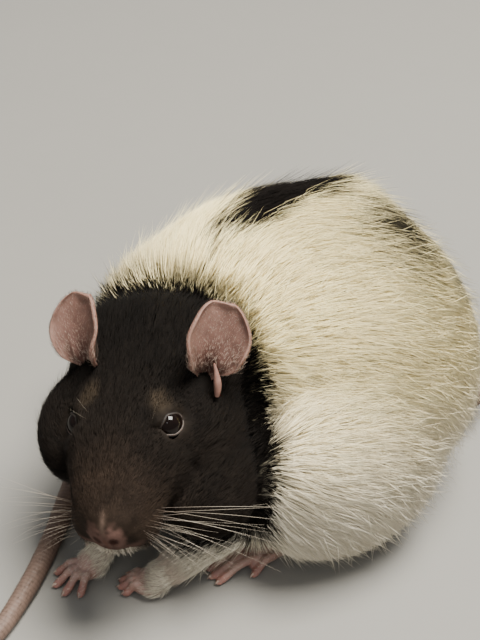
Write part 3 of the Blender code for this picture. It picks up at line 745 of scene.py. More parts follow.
@dataclass
class Skin:
    """One skin over trunk, legs, neck and head, inside the solids by the coat's depth."""

    body_voxel: float = 1.15
    head_voxel: float = 0.485
    body_nodes: tuple = BODY_NODES
    head_nodes: tuple = HEAD_NODES
    body: Surface | None = None
    face: Surface | None = None

    def shell(self, nodes: tuple, voxel: float, smoothing: int) -> bpy.types.Object:
        """The nodes fused into one closed surface."""
        made = merged("skin_shell", nodes)
        applied(made, "REMESH", mode="VOXEL", voxel_size=voxel * MM)
        return applied(made, "SMOOTH", factor=0.5, iterations=smoothing)

    def owners(self, points: Array) -> list:
        """The name of the node nearest to each point."""
        corners, faces, names = [], [], []
        for node in self.body_nodes:
            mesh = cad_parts[node].data
            start = len(corners)
            corners += [vert.co / MM - Vector(SHIFT) for vert in mesh.vertices]
            faces += [[index + start for index in face.vertices] for face in mesh.polygons]
            names += [node] * len(mesh.polygons)
        tree = BVHTree.FromPolygons(corners, faces)
        return [names[tree.find_nearest(Vector(point))[2]] for point in points]

    def surface(self, obj: bpy.types.Object, is_face: bool) -> Surface:
        """Reads a shell, finds the coat's values on it and draws it in by the coat's depth."""
        points, normals, faces = mesh_arrays(obj)
        removed(obj)
        owners = np.array(self.owners(points))
        head = np.isin(owners, self.head_nodes).astype(float)
        legs = np.char.startswith(owners, "foreleg").astype(float)
        made = Surface(points, normals, faces, head, legs, np.ones(len(points)))
        edges = made.edges()
        rounds = 16 if is_face else 3
        made.head = made.smoothed(head, edges, rounds)[:, 0]
        made.legs = made.smoothed(legs, edges, rounds)[:, 0]
        back = HEAD.coordinates(points)[:, 0]
        wrist = nearest(points, WRIST.values())
        socket = nearest(points, [eye_centre(side) for side in Side])
        for name in ("depth", "length", "width", "density", "lift"):
            column = mixed(
                TRUNK_COAT.at(name, points[:, 2])[:, None], HEAD_COAT.at(name, back)[:, None], made.head
            )
            column = mixed(column, FORELEG_COAT.at(name, wrist)[:, None], made.legs)
            made.columns[name] = made.smoothed(column, edges, 6)[:, 0]
        columns = made.columns
        columns["depth"] *= blend(4.6, 6.5, socket)
        columns["length"] = np.minimum(columns["length"], 0.5 + 0.5 * np.maximum(socket - 3.6, 0))
        for side in Side:
            place = eye_axes(side).coordinates(points)
            near = (np.linalg.norm(place, axis=1) < 6.5) & (place[:, 0] < 0)
            columns["density"] *= np.where(near, blend(1.15, 1.35, lid_share(place)), 1.0)
            cup = HEAD.point(*aside(EAR_ROOT[side], side))
            cup = cup + 2.6 * HEAD.direction(*aside(EAR_FACING[side], side))
            reach = np.linalg.norm(points - cup, axis=1)
            columns["length"] *= 0.35 + 0.65 * blend(3.5, 7.5, reach)
            columns["density"] *= blend(2.2, 3.4, reach)
        is_head = (head > 0.5) & (back + 2.6 * wobble(points, 4.5, 71) <= 45.5)
        made.growing = (is_head if is_face else ~is_head).astype(float)
        if is_face:
            columns["depth"] += 1.3 * blend(50, 56, back)
            nose = HEAD.coordinates(points)
            chin = (1 - blend(-3.6, -2.4, nose[:, 2])) * (1 - blend(9.0, 15.0, back)) * made.growing
            columns["length"] = np.maximum(columns["length"], 2.7 * chin)
            columns["density"] = np.maximum(columns["density"], 11 * chin)
            columns["lift"] = columns["lift"] + 22 * chin
            # Dense short hair along the painted highlight down the nose, so that its colour shows.
            highlight_streak = np.exp(-((nose[:, 1] / 0.8) ** 2)) * blend(-2.2, -1.2, nose[:, 2])
            columns["density"] = np.maximum(columns["density"], 15 * highlight_streak * (back < 4))
        else:
            columns["depth"] += 1.3 * made.head * (1 - blend(37, 41, back))
        columns["density"] *= made.growing
        made.lie = unit(made.smoothed(Lie().over(made), edges, 4))
        drawn = made.smoothed(columns["depth"][:, None], edges, 4)
        on_floor = (points[:, 2] < 0.4)[:, None]
        made.points = points - normals * drawn * np.where(on_floor, 0.35, 1.0)
        made.points[:, 2] = np.maximum(made.points[:, 2], 0.25)
        if is_face:
            back, _, up = HEAD.coordinates(made.points).T
            drop = 1.1 * (1 - blend(4, 11, back)) * (1 - blend(-3.2, 0.2, up))
            made.points -= HEAD.up * drop[:, None]
        for side in Side:
            place = eye_axes(side).coordinates(made.points)
            reach = np.maximum(np.linalg.norm(place, axis=1), 1.0)
            share = lid_share(place)
            close = EYE_RADIUS - 0.9 + blend(1.0, 1.12, share) + 4.5 * np.maximum(share - 1.12, 0)
            shift = np.maximum(reach - close, 0) * (1 - blend(4.6, 6.8, reach))
            made.points -= (made.points - eye_centre(side)) * (shift / reach)[:, None]
        return made

    def build(self, material: bpy.types.Material) -> bpy.types.Object:
        """Makes both surfaces and the one object of skin."""
        self.body = self.surface(self.shell(self.body_nodes, self.body_voxel, 8), False)
        self.face = self.surface(self.shell(self.head_nodes, self.head_voxel, 5), True)
        pieces = []
        for surface in (self.body, self.face):
            colours = MARKINGS.skin(surface.points, surface.head, surface.legs)
            pieces.append(Piece(surface.points, surface.faces, colours))
        whole = pieces[0].joined(pieces[1])
        return dressed(whole.object("skin", material), Slot.WHITE_FUR, *self.body_nodes)


@dataclass
class SkinMap:
    """A flat layout of the skin, which gives each tuft its own patch."""

    voxel: float = 3.2
    patch: float = 0.0030
    tree: BVHTree | None = None
    corners: Array | None = None
    layout: Array | None = None

    def build(self, skin: Skin) -> None:
        """Unwraps a coarse copy of the skin."""
        piece = Piece(skin.body.points, skin.body.faces).joined(Piece(skin.face.points, skin.face.faces))
        coarse = piece.object("skin_map", bpy.data.materials.new("skin_map"))
        applied(coarse, "REMESH", mode="VOXEL", voxel_size=self.voxel * MM)
        bpy.context.view_layer.objects.active = coarse
        coarse.select_set(True)
        bpy.ops.object.mode_set(mode="EDIT")
        bpy.ops.mesh.select_all(action="SELECT")
        bpy.ops.mesh.quads_convert_to_tris()
        bpy.ops.uv.smart_project(angle_limit=math.radians(66), island_margin=0.004)
        bpy.ops.object.mode_set(mode="OBJECT")
        points, _, faces = mesh_arrays(coarse)
        flat = np.empty(len(coarse.data.loops) * 2)
        coarse.data.uv_layers.active.data.foreach_get("uv", flat)
        self.tree = BVHTree.FromPolygons([Vector(point) for point in points], faces)
        self.corners = points[np.array(faces)]
        self.layout = flat.reshape(-1, 3, 2)
        removed(coarse)

    def places(self, roots: Array) -> Array:
        """Where each root lies in the layout."""
        found = [self.tree.find_nearest(Vector(root)) for root in roots]
        faces = np.array([item[2] for item in found])
        spots = np.array([item[0] for item in found])
        a, b, c = (self.corners[faces, corner] for corner in range(3))
        normal = np.cross(b - a, c - a)
        area = np.maximum((normal * normal).sum(axis=1), 1e-12)
        first = (np.cross(c - b, spots - b) * normal).sum(axis=1) / area
        second = (np.cross(a - c, spots - c) * normal).sum(axis=1) / area
        share = np.clip(np.stack((first, second, 1 - first - second), axis=1), 0, 1)
        share /= share.sum(axis=1, keepdims=True)
        return (self.layout[faces] * share[:, :, None]).sum(axis=1)


@dataclass
class Roots:
    """Where the tufts of one region stand, and how each one grows."""

    points: Array
    normals: Array
    lie: Array
    columns: dict
    head: Array
    legs: Array

    def __len__(self) -> int:
        return len(self.points)

    def part(self, chosen: Array) -> "Roots":
        """The roots at some places in the list."""
        columns = {name: values[chosen] for name, values in self.columns.items()}
        points, normals, lie = self.points[chosen], self.normals[chosen], self.lie[chosen]
        return Roots(points, normals, lie, columns, self.head[chosen], self.legs[chosen])


def scattered(surface: Surface, rng: np.random.Generator) -> Roots:
    """Roots strewn over a skin as densely as its coat grows.

    Args:
        surface: the skin.
        rng: the source of chance.

    Returns:
        The roots with their values.
    """
    triangles = surface.triangles()
    a, b, c = (surface.points[triangles[:, corner]] for corner in range(3))
    area = 0.5 * np.linalg.norm(np.cross(b - a, c - a), axis=1)
    density = surface.columns["density"][triangles].mean(axis=1)
    counts = rng.poisson(area * density)
    owner = np.repeat(np.arange(len(triangles)), counts)
    share = rng.random((len(owner), 2))
    folded = share.sum(axis=1) > 1
    share[folded] = 1 - share[folded]
    weights = np.stack((1 - share.sum(axis=1), share[:, 0], share[:, 1]), axis=1)[:, :, None]
    chosen = triangles[owner]

    def carried(values: Array) -> Array:
        return (values.reshape(len(values), -1)[chosen] * weights).sum(axis=1)

    columns = {name: carried(values)[:, 0] for name, values in surface.columns.items()}
    return Roots(
        carried(surface.points),
        unit(carried(surface.normals)),
        unit(carried(surface.lie)),
        columns,
        carried(surface.head)[:, 0],
        carried(surface.legs)[:, 0],
    )


@dataclass
class Hairs:
    """Tapered three-sided tufts, each bent towards the skin, as arrays for one mesh."""

    bend: float = 0.36
    flatness: float = 0.5
    stray: float = 0.05
    crest: float = 84.7  # above this height, the tips on top of the back bend over
    points: Array | None = None
    colours: Array | None = None
    roots: Array | None = None

    def faces(self) -> Array:
        """The triangles of one tuft: its root is point 0, its tip point 4."""
        return np.array(((2, 1, 0), (3, 2, 0), (1, 3, 0), (1, 2, 4), (2, 3, 4), (3, 1, 4)))

    def grow(self, roots: Roots, lie: Array, colours: Array, rng: np.random.Generator) -> None:
        """Makes the tufts.

        Args:
            roots: where they stand.
            lie: the way in which each one lies, in the skin's surface.
            colours: the colour of each one.
            rng: the source of chance.
        """
        count = len(roots)
        normal = roots.normals
        stray = rng.random(count) < self.stray
        length = roots.columns["length"] * rng.uniform(0.74, 1.12, count) * np.where(stray, 1.22, 1.0)
        width = roots.columns["width"] * rng.uniform(0.75, 1.2, count) * np.where(stray, 0.7, 1.0)
        lift = roots.columns["lift"] + rng.normal(0, 3.5, count) + np.where(stray, 9.0, 0.0)
        swing = (rng.normal(0, math.radians(7.0), count) * np.where(stray, 2.4, 1.0))[:, None]
        side = unit(np.cross(normal, lie))
        lie = lie * np.cos(swing) + side * np.sin(swing)
        side = unit(np.cross(normal, lie))
        rise = np.radians(lift + 9.0)[:, None]
        level = np.radians(np.maximum(lift * np.where(stray, 0.55, 0.16), 0.5))[:, None]
        root = roots.points - normal * 0.2
        middle = root + (lie * np.cos(rise) + normal * np.sin(rise)) * (length * self.bend)[:, None]
        tip = middle + (lie * np.cos(level) + normal * np.sin(level)) * (length * (1 - self.bend))[:, None]
        over = normal * np.cos(rise) - lie * np.sin(rise)
        rows = [root]
        for turn in (math.pi / 2, math.pi * 7 / 6, math.pi * 11 / 6):
            across = side * math.cos(turn) + over * math.sin(turn) * self.flatness
            rows.append(middle + across * (width * 0.5)[:, None])
        rows.append(tip)
        self.points = np.stack(rows, axis=1)
        height = np.maximum(self.points[:, :, 2], 0.08)
        bowed = self.crest + 0.35 * (height - self.crest)
        self.points[:, :, 2] = np.where(height > self.crest, bowed, height)
        # Painted shade: each tuft is darker at its root, down in the coat, and a little lighter at its tip.
        shade = np.array([0.62, 0.95, 0.95, 0.95, 1.08])[None, :, None]
        drift = rng.uniform(0.82, 1.12, (count, 1, 1))
        self.colours = np.clip(colours[:, None, :] * shade * drift, 0, 1)
        self.roots = roots.points

    def object(self, name: str, material: bpy.types.Material, layout: SkinMap) -> bpy.types.Object:
        """The tufts as one mesh object with a patch of the layout for each."""
        count, size = self.points.shape[:2]
        faces = self.faces()
        corners = (np.arange(count)[:, None, None] * size + faces[None]).ravel().astype(np.int32)
        starts = np.arange(count * len(faces), dtype=np.int32) * 3
        mesh = mesh_of(name, self.points.reshape(-1, 3), corners, starts)
        tinted(mesh, self.colours.reshape(-1, 3))
        turn = np.array([0.0, 0.5, 2.6, 4.7, 1.5])
        along = np.array([0.0, 0.45, 0.45, 0.45, 0.1])
        spread = np.stack((np.cos(turn) * along, np.sin(turn) * along), axis=1) * layout.patch
        spots = (layout.places(self.roots)[:, None, :] + spread[None]).reshape(-1, 2)
        patch = mesh.uv_layers.new(name="OFBake")
        patch.data.foreach_set("uv", np.clip(spots[corners], 0, 1).astype(np.float32).ravel())
        mesh.update(calc_edges=True)
        mesh.materials.append(material)
        return linked(name, mesh)


@dataclass
class Coat:
    """The whole coat: fine on the face, longer and tufted on the trunk."""

    seed: int = 7
    limit: int = 32500
    body_clump: tuple = (2.4, 0.5)
    face_clump: tuple = (0.8, 0.25)

    def clumped(self, roots: Roots, size: float, pull: float, rng: np.random.Generator) -> Array:
        """Turns the lie so that the tips of neighbouring tufts meet.

        Args:
            roots: the roots.
            size: how far apart the clumps stand.
            pull: how strongly tips are drawn together, from 0 to 1.
            rng: the source of chance.

        Returns:
            The new directions in the skin's surface.
        """
        cells = np.floor(roots.points / size).astype(np.int64)
        _, first = np.unique(cells, axis=0, return_index=True)
        centres = roots.points[first] + rng.normal(0, size * 0.15, (len(first), 3))
        tree = KDTree(len(centres))
        for index, centre in enumerate(centres):
            tree.insert(Vector(centre), index)
        tree.balance()
        nearest = np.array([tree.find(Vector(point))[1] for point in roots.points])
        offset = centres[nearest] - roots.points
        offset -= roots.normals * (offset * roots.normals).sum(axis=1, keepdims=True)
        tips = roots.lie * roots.columns["length"][:, None] + offset * pull * 1.6
        return unit(tips)

    def grown(self, surface: Surface, clump: tuple, rng: np.random.Generator) -> tuple[Roots, Array]:
        """Roots of one skin with their turned lie."""
        roots = scattered(surface, rng)
        return roots, self.clumped(roots, *clump, rng)

    def build(self, skin: Skin, layout: SkinMap, material: bpy.types.Material) -> list:
        """Makes the coat's pieces, each from one stretch of the rat."""
        rng = np.random.default_rng(self.seed)
        made = []
        parts = (("body", skin.body, self.body_clump), ("face", skin.face, self.face_clump))
        for title, surface, clump in parts:
            roots, lie = self.grown(surface, clump, rng)
            order = np.argsort(roots.points[:, 1])
            stretches = max(1, math.ceil(len(order) / self.limit))
            for number, chosen in enumerate(np.array_split(order, stretches)):
                chosen = np.sort(chosen)
                part = roots.part(chosen)
                colours = MARKINGS.coat(part.points, part.head, part.legs, rng.random(len(part)))
                hairs = Hairs()
                hairs.grow(part, lie[chosen], colours, rng)
                piece = hairs.object(f"coat_{title}_{number + 1}", material, layout)
                dark = colours.mean() < 0.25
                made.append(dressed(piece, Slot.HOOD_FUR if dark else Slot.WHITE_FUR))
        return made


@dataclass
class Eyes:
    """Glossy black eyeballs in bare lids, drawn out to a point in front."""

    rim: float = 0.30
    steps: int = 40
    # The lid's section from the ball outward: how far out and how high, as shares of the rim.
    profile: tuple = (
        (-0.25, -0.25),
        (-0.16, 0.12),
        (0.12, 0.26),
        (0.55, 0.30),
        (1.15, 0.22),
        (1.9, 0.05),
        (2.6, -0.6),
        (0.6, -0.8),
    )

    def ball(self, side: Side, material: bpy.types.Material) -> bpy.types.Object:
        """One round eyeball."""
        bm = bmesh.new()
        bmesh.ops.create_uvsphere(bm, u_segments=48, v_segments=32, radius=(EYE_RADIUS - 0.05) * MM)
        centre = Vector(metres(eye_centre(side)[None])[0])
        bmesh.ops.translate(bm, vec=centre, verts=bm.verts)
        mesh = bpy.data.meshes.new(f"eyeball_{side.word}")
        bm.to_mesh(mesh)
        bm.free()
        mesh.polygons.foreach_set("use_smooth", np.ones(len(mesh.polygons), bool))
        mesh.materials.append(material)
        return dressed(linked(mesh.name, mesh), Slot.EYE, f"eye_{side.word}")

    def lids(self, side: Side, material: bpy.types.Material) -> bpy.types.Object:
        """The rim round the opening, pale below and dark above."""
        place = eye_axes(side)
        facing, slant, over = place.forward, place.left, place.up
        turn = np.linspace(0, 2 * math.pi, self.steps, endpoint=False)
        x, y = lid_line(turn)
        plane = x[:, None] * slant + y[:, None] * over
        reach = np.minimum(np.linalg.norm(plane, axis=1), EYE_RADIUS * 0.985)
        rise = np.sqrt(EYE_RADIUS**2 - reach**2)
        line = eye_centre(side) + unit(plane) * reach[:, None] + facing * rise[:, None]
        outward = unit(line - eye_centre(side))
        along = unit(np.roll(line, -1, axis=0) - np.roll(line, 1, axis=0))
        away = np.cross(outward, along)
        away = unit(away * np.sign((away * plane).sum(axis=1))[:, None])
        shade = np.array((1.0, 1.0, 1.0, 0.7, 0.12, 0.05, 0.05, 0.3))
        rows = [
            line + away * (reach_out * self.rim * 1.7) + outward * (lift * self.rim * 2)
            for reach_out, lift in self.profile
        ]
        points = np.stack(rows, axis=1).reshape(-1, 3)
        faces, width = [], len(self.profile)
        for step in range(self.steps):
            row, after = step * width, (step + 1) % self.steps * width
            for column in range(width):
                beside = (column + 1) % width
                faces.append((row + column, after + column, after + beside, row + beside))
        pale = 1 - blend(-0.55, 0.25, np.sin(turn) - 0.55 * np.cos(turn))
        colours = mixed(LID_DARK, LID_GREY, pale * 0.9)
        piece = Piece(points, faces, (colours[:, None] * shade[None, :, None]).reshape(-1, 3))
        made = piece.object(f"lids_{side.word}", material)
        turned_outward(made)
        return dressed(made, Slot.BARE_SKIN)


def oval_ball(place: Axes, centre: tuple, radii: tuple) -> Piece:
    """A closed ball drawn out along a frame's own directions.

    Args:
        place: the frame.
        centre: back, left and up of its middle.
        radii: its reach ahead, aside and up.

    Returns:
        The ball.
    """
    bm = bmesh.new()
    bmesh.ops.create_icosphere(bm, subdivisions=4, radius=1.0)
    spots = np.array([vert.co for vert in bm.verts]) * radii
    faces = [tuple(vert.index for vert in face.verts) for face in bm.faces]
    bm.free()
    turned = spots[:, :1] * place.forward + spots[:, 1:2] * place.left + spots[:, 2:] * place.up
    return Piece(place.point(*centre) + turned, faces)


def oval_rows(place: Axes, rows: tuple, sides: int = 24) -> Piece:
    """A closed body through upright ovals, each given as back, left, up, half width and half height."""
    rows = catmull(rows, 4)
    turn = np.linspace(0, 2 * math.pi, sides, endpoint=False)[:, None]
    rings = [
        place.point(back, left, up) + np.cos(turn) * half * place.left + np.sin(turn) * tall * place.up
        for back, left, up, half, tall in rows
    ]
    ends = [rings[0].mean(axis=0)[None], rings[-1].mean(axis=0)[None]]
    return Piece(np.vstack(rings + ends), ring_faces(len(rows), sides))


def fused(name: str, pieces: list, voxel: float, smoothing: int) -> tuple[Array, Array, list]:
    """Closed pieces melted into one, as points, normals and faces."""
    obj = merged(name, (), extra=pieces)
    applied(obj, "REMESH", mode="VOXEL", voxel_size=voxel * MM)
    applied(obj, "SMOOTH", factor=0.5, iterations=smoothing)
    arrays = mesh_arrays(obj)
    removed(obj)
    return arrays


@dataclass
class Ear:
    """A thin bare ear with a rolled rim, folds inside it and down on it."""

    side: Side
    height: float = 18.9
    half_width: float = 8.8
    thickness: float = 0.9
    bend: tuple = (5.2, 11.5)
    rows: int = 54
    columns: int = 44
    down_density: float = 5.0
    lobe_line: tuple = (
        (41.9, 19.6, 13.0),
        (40.4, 20.1, 11.0),
        (39.2, 20.3, 9.3),
        (38.3, 20.2, 7.7),
        (37.4, 19.9, 6.2),
    )
    lobe_radii: tuple = (0.3, 0.65, 0.95, 0.85, 0.55)

    @property
    def rise(self) -> tuple:
        """The way in which the ear stands up, forward, aside and up in the head's frame."""
        return (-0.42, 0.31, 0.86) if self.side is Side.LEFT else (-0.42, 0.02, 0.86)

    @property
    def root(self) -> Array:
        """Where the ear stands on the head."""
        return HEAD.point(*aside(EAR_ROOT[self.side], self.side))

    def half_width_at(self, share: float) -> float:
        """Half width at a share of the height, drawn in to a rounded foot."""
        if share < 0:
            return self.half_width * (0.34 + 1.1 * share)
        if share < 0.5:
            return self.half_width * (0.34 + 0.66 * math.sin(math.pi * share) ** 0.85)
        return self.half_width * math.sqrt(max(0.0, 1 - ((share - 0.5) / 0.52) ** 2))

    def relief(self, share: float, across: float, edge: float) -> float:
        """How far the inner face stands forward: rim, folds and the hollow at the root."""
        rim = 0.5 * math.exp(-((edge / 0.9) ** 2))
        fold = 0.75 * math.exp(-(((across - 0.34) / 0.13) ** 2)) * math.exp(-(((share - 0.2) / 0.2) ** 2))
        fold += 0.6 * math.exp(-(((across + 0.42) / 0.12) ** 2)) * math.exp(-(((share - 0.3) / 0.2) ** 2))
        hollow = 0.9 * math.exp(-((across / 0.3) ** 2)) * math.exp(-(((share - 0.1) / 0.14) ** 2))
        vein = 0.10 * math.sin(across * 9 + share * 4) * math.exp(-(((share - 0.55) / 0.25) ** 2))
        return rim + fold - hollow + vein

    def grid(self) -> tuple[Array, Array, Array, Array]:
        """Points of the inner and outer faces and their colours, row by row."""
        facing, over, rise = self.cup_axes()
        shape = (self.rows + 1, self.columns + 1, 3)
        inner, outer, front, back = (np.empty(shape) for _ in range(4))
        for row in range(self.rows + 1):
            share = -0.22 + 1.215 * math.sin(0.5 * math.pi * row / self.rows)
            low = max(share, 0.0)
            half = self.half_width_at(share)
            bend = self.bend[0] + (self.bend[1] - self.bend[0]) * low
            lean = 2.4 * low**2
            for column in range(self.columns + 1):
                across = 2 * column / self.columns - 1
                edge = min((1 - abs(across)) * half, (1.0 - share) * self.height * 0.8)
                thick = self.thickness * (0.42 + 0.38 * math.exp(-((edge / 0.8) ** 2)) + 0.2 * (1 - low))
                turn = across * half / bend
                sunk = 2.6 * (1 - blend(-0.08, 0.20, share))
                middle = self.root + rise * self.height * share + facing * (bend - lean - sunk)
                outward = over * math.sin(turn) - facing * math.cos(turn)
                notch = 0.35 * math.sin(share * 13 + across * 3) * math.exp(-((edge / 1.5) ** 2))
                forward = self.relief(share, across, edge) + notch
                inner[row, column] = middle + outward * (bend - forward - thick / 2)
                outer[row, column] = middle + outward * (bend - 0.75 * forward + thick / 2)
                front[row, column] = self.front_colour(share, across, edge)
                back[row, column] = self.back_colour(share, edge)
        return inner, outer, front, back

    def front_colour(self, share: float, across: float, edge: float) -> Array:
        """Greyish pink inside, darker and redder in the hollow by painted shade, paler at the rim."""
        made = EAR_PINK * (0.76 + 0.38 * share)
        # Painted shade: the hollow near the root of the cup is darkened, and made redder.
        depth = math.exp(-(((across * self.side.value + 0.15) / 0.45) ** 2))
        depth *= math.exp(-(((share - 0.08) / 0.32) ** 2))
        made = made * (1 - depth * EAR_HOLLOW_SHADE)
        rim = math.exp(-((edge / 1.0) ** 2))
        return made * (1 - 0.4 * rim) + EAR_RIM * 0.42 * rim

    def back_colour(self, share: float, edge: float) -> Array:
        """Grey-brown skin behind, pinker near the rim."""
        rim = math.exp(-((edge / 1.6) ** 2))
        return EAR_BACK * (1 - rim) + EAR_BACK_RIM * rim

    def build(self, material: bpy.types.Material) -> tuple[bpy.types.Object, Surface]:
        """Makes the ear and a surface for its down."""
        inner, outer, front, back = self.grid()
        rows, columns = inner.shape[:2]
        points = np.vstack((inner.reshape(-1, 3), outer.reshape(-1, 3)))
        colours = np.vstack((front.reshape(-1, 3), back.reshape(-1, 3)))
        mottle = 0.15 * wobble(points, 1.7, 61) + 0.12 * wobble(points, 0.6, 62)
        colours = colours * (1 + mottle)[:, None]
        faces, layer = [], rows * columns
        for row in range(rows - 1):
            for column in range(columns - 1):
                a = row * columns + column
                faces.append((a, a + 1, a + 1 + columns, a + columns))
                faces.append((a + layer, a + columns + layer, a + 1 + columns + layer, a + 1 + layer))
        loop = list(range(columns))
        loop += [row * columns + columns - 1 for row in range(1, rows)]
        loop += [(rows - 1) * columns + column for column in range(columns - 2, -1, -1)]
        loop += [row * columns for row in range(rows - 2, 0, -1)]
        for start, end in zip(loop, loop[1:] + loop[:1]):
            faces.append((end, start, start + layer, end + layer))
        made = Piece(points, faces, colours).object(f"ear_shell_{self.side.word}", material)
        turned_outward(made)
        dressed(made, Slot.BARE_SKIN, f"ear_{self.side.word}")
        if self.side is Side.LEFT:
            self.lobe(material)
        return made, self.down_surface(made, len(points) // 2)

    def lobe(self, material: bpy.types.Material) -> None:
        """The small lobe that runs from the front of the cup down over the fur."""
        line = [HEAD.point(*aside(spot, self.side)) for spot in self.lobe_line]
        made = tube(catmull(line, 5), catmull(np.array(self.lobe_radii)[:, None], 5)[:, 0], 12)
        points, _, faces = fused("ear_lobe", [made], 0.22, 4)
        colours = LOBE_PINK * (1 + 0.2 * wobble(points, 0.7, 63))[:, None]
        dressed(Piece(points, faces, colours).object(f"ear_lobe_{self.side.word}", material), Slot.BARE_SKIN)

    def cup_axes(self) -> tuple[Array, Array, Array]:
        """The directions in which the cup opens, its left and its rise."""
        rise = HEAD.direction(*aside(self.rise, self.side))
        facing = HEAD.direction(*aside(EAR_FACING[self.side], self.side))
        facing = unit(facing - rise * (facing @ rise))
        return facing, np.cross(rise, facing), rise

    def down_surface(self, obj: bpy.types.Object, inner_count: int) -> Surface:
        """The ear's faces with the values for its down."""
        points, normals, faces = mesh_arrays(obj)
        count = len(points)
        made = Surface(points, normals, faces, np.ones(count), np.zeros(count), np.ones(count))
        inside = np.arange(count) < inner_count
        rise = self.cup_axes()[2]
        reach = (points - self.root) @ rise / self.height
        low = 1 - blend(0.15, 0.55, reach)
        made.columns = {
            "depth": np.zeros(count),
            "length": np.where(inside, 0.95, 1.1) + 1.7 * low * np.where(inside, 0.4, 1.0),
            "width": 0.06 + 0.04 * low,
            "density": self.down_density * np.where(inside, 0.8, 1.5) * blend(-0.1, 0.0, reach),
            "lift": np.full(count, 34.0),
        }
        fan = unit(points - (self.root - rise * 6))
        made.lie = unit(fan - normals * (fan * normals).sum(axis=1, keepdims=True))
        return made

    def down(self, surface: Surface, material: bpy.types.Material, layout: SkinMap) -> bpy.types.Object:
        """Short down on both faces."""
        rng = np.random.default_rng(31 + self.side.value)
        roots = scattered(surface, rng)
        facing = HEAD.direction(*aside(EAR_FACING[self.side], self.side))
        inner = ((roots.normals @ facing) > 0.1).astype(float)
        colours = mixed(EAR_DOWN_DARK, EAR_DOWN_PALE, inner)
        hairs = Hairs()
        hairs.grow(roots, roots.lie, colours, rng)
        return dressed(hairs.object(f"ear_down_{self.side.word}", material, layout), Slot.HOOD_FUR)


@dataclass
class Toe:
    """One toe that arches from its root to the floor."""

    place: Axes
    reach: float
    height: float
    radius: float = 1.2
    claw_length: float = 1.4

    def path(self) -> Array:
        """The middle line from inside the foot to the tip."""
        rise = self.radius * 0.82
        rows = [
            self.place.point(1.5, 0, self.height),
            self.place.point(-self.reach * 0.35, 0, self.height + 0.7),
            self.place.point(-self.reach * 0.75, 0, rise + 0.9),
            self.place.point(-self.reach, 0, rise),
        ]
        return catmull(rows, 8)

    def flesh(self) -> list:
        """The toe with a knuckle, a fingertip and a pad under it."""
        path = self.path()
        share = np.linspace(0, 1, len(path))
        swell = (1.08, 1.02, 0.84, 0.92, 0.9, 0.62)
        radii = self.radius * np.interp(share, (0, 0.35, 0.5, 0.75, 0.9, 1), swell)
        tip = oval_ball(self.place, (-self.reach + 0.25, 0, self.radius * 0.78), (1.25, 1.0, 0.78))
        return [tube(path, radii, 14), tip]

    def claw(self) -> Piece:
        """A curved claw that tapers to a point."""
        start = self.place.point(-self.reach + 0.15, 0, self.radius * 1.05)
        share = np.linspace(0, 1, 9)[:, None]
        path = start + self.place.forward * self.claw_length * share
        path = path + self.place.up * (0.55 * np.sin(share * 2.1) - 1.05 * share**2)
        path[:, 2] = np.maximum(path[:, 2], 0.25)
        radii = 0.42 * (1 - share[:, 0] ** 1.6 * 0.86)
        return tube(path, radii, 10)

    def quick(self) -> Piece:
        """A cuff of skin round the root of the claw."""
        return oval_ball(self.place, (-self.reach + 0.05, 0, self.radius * 1.1), (0.7, 0.78, 0.6))


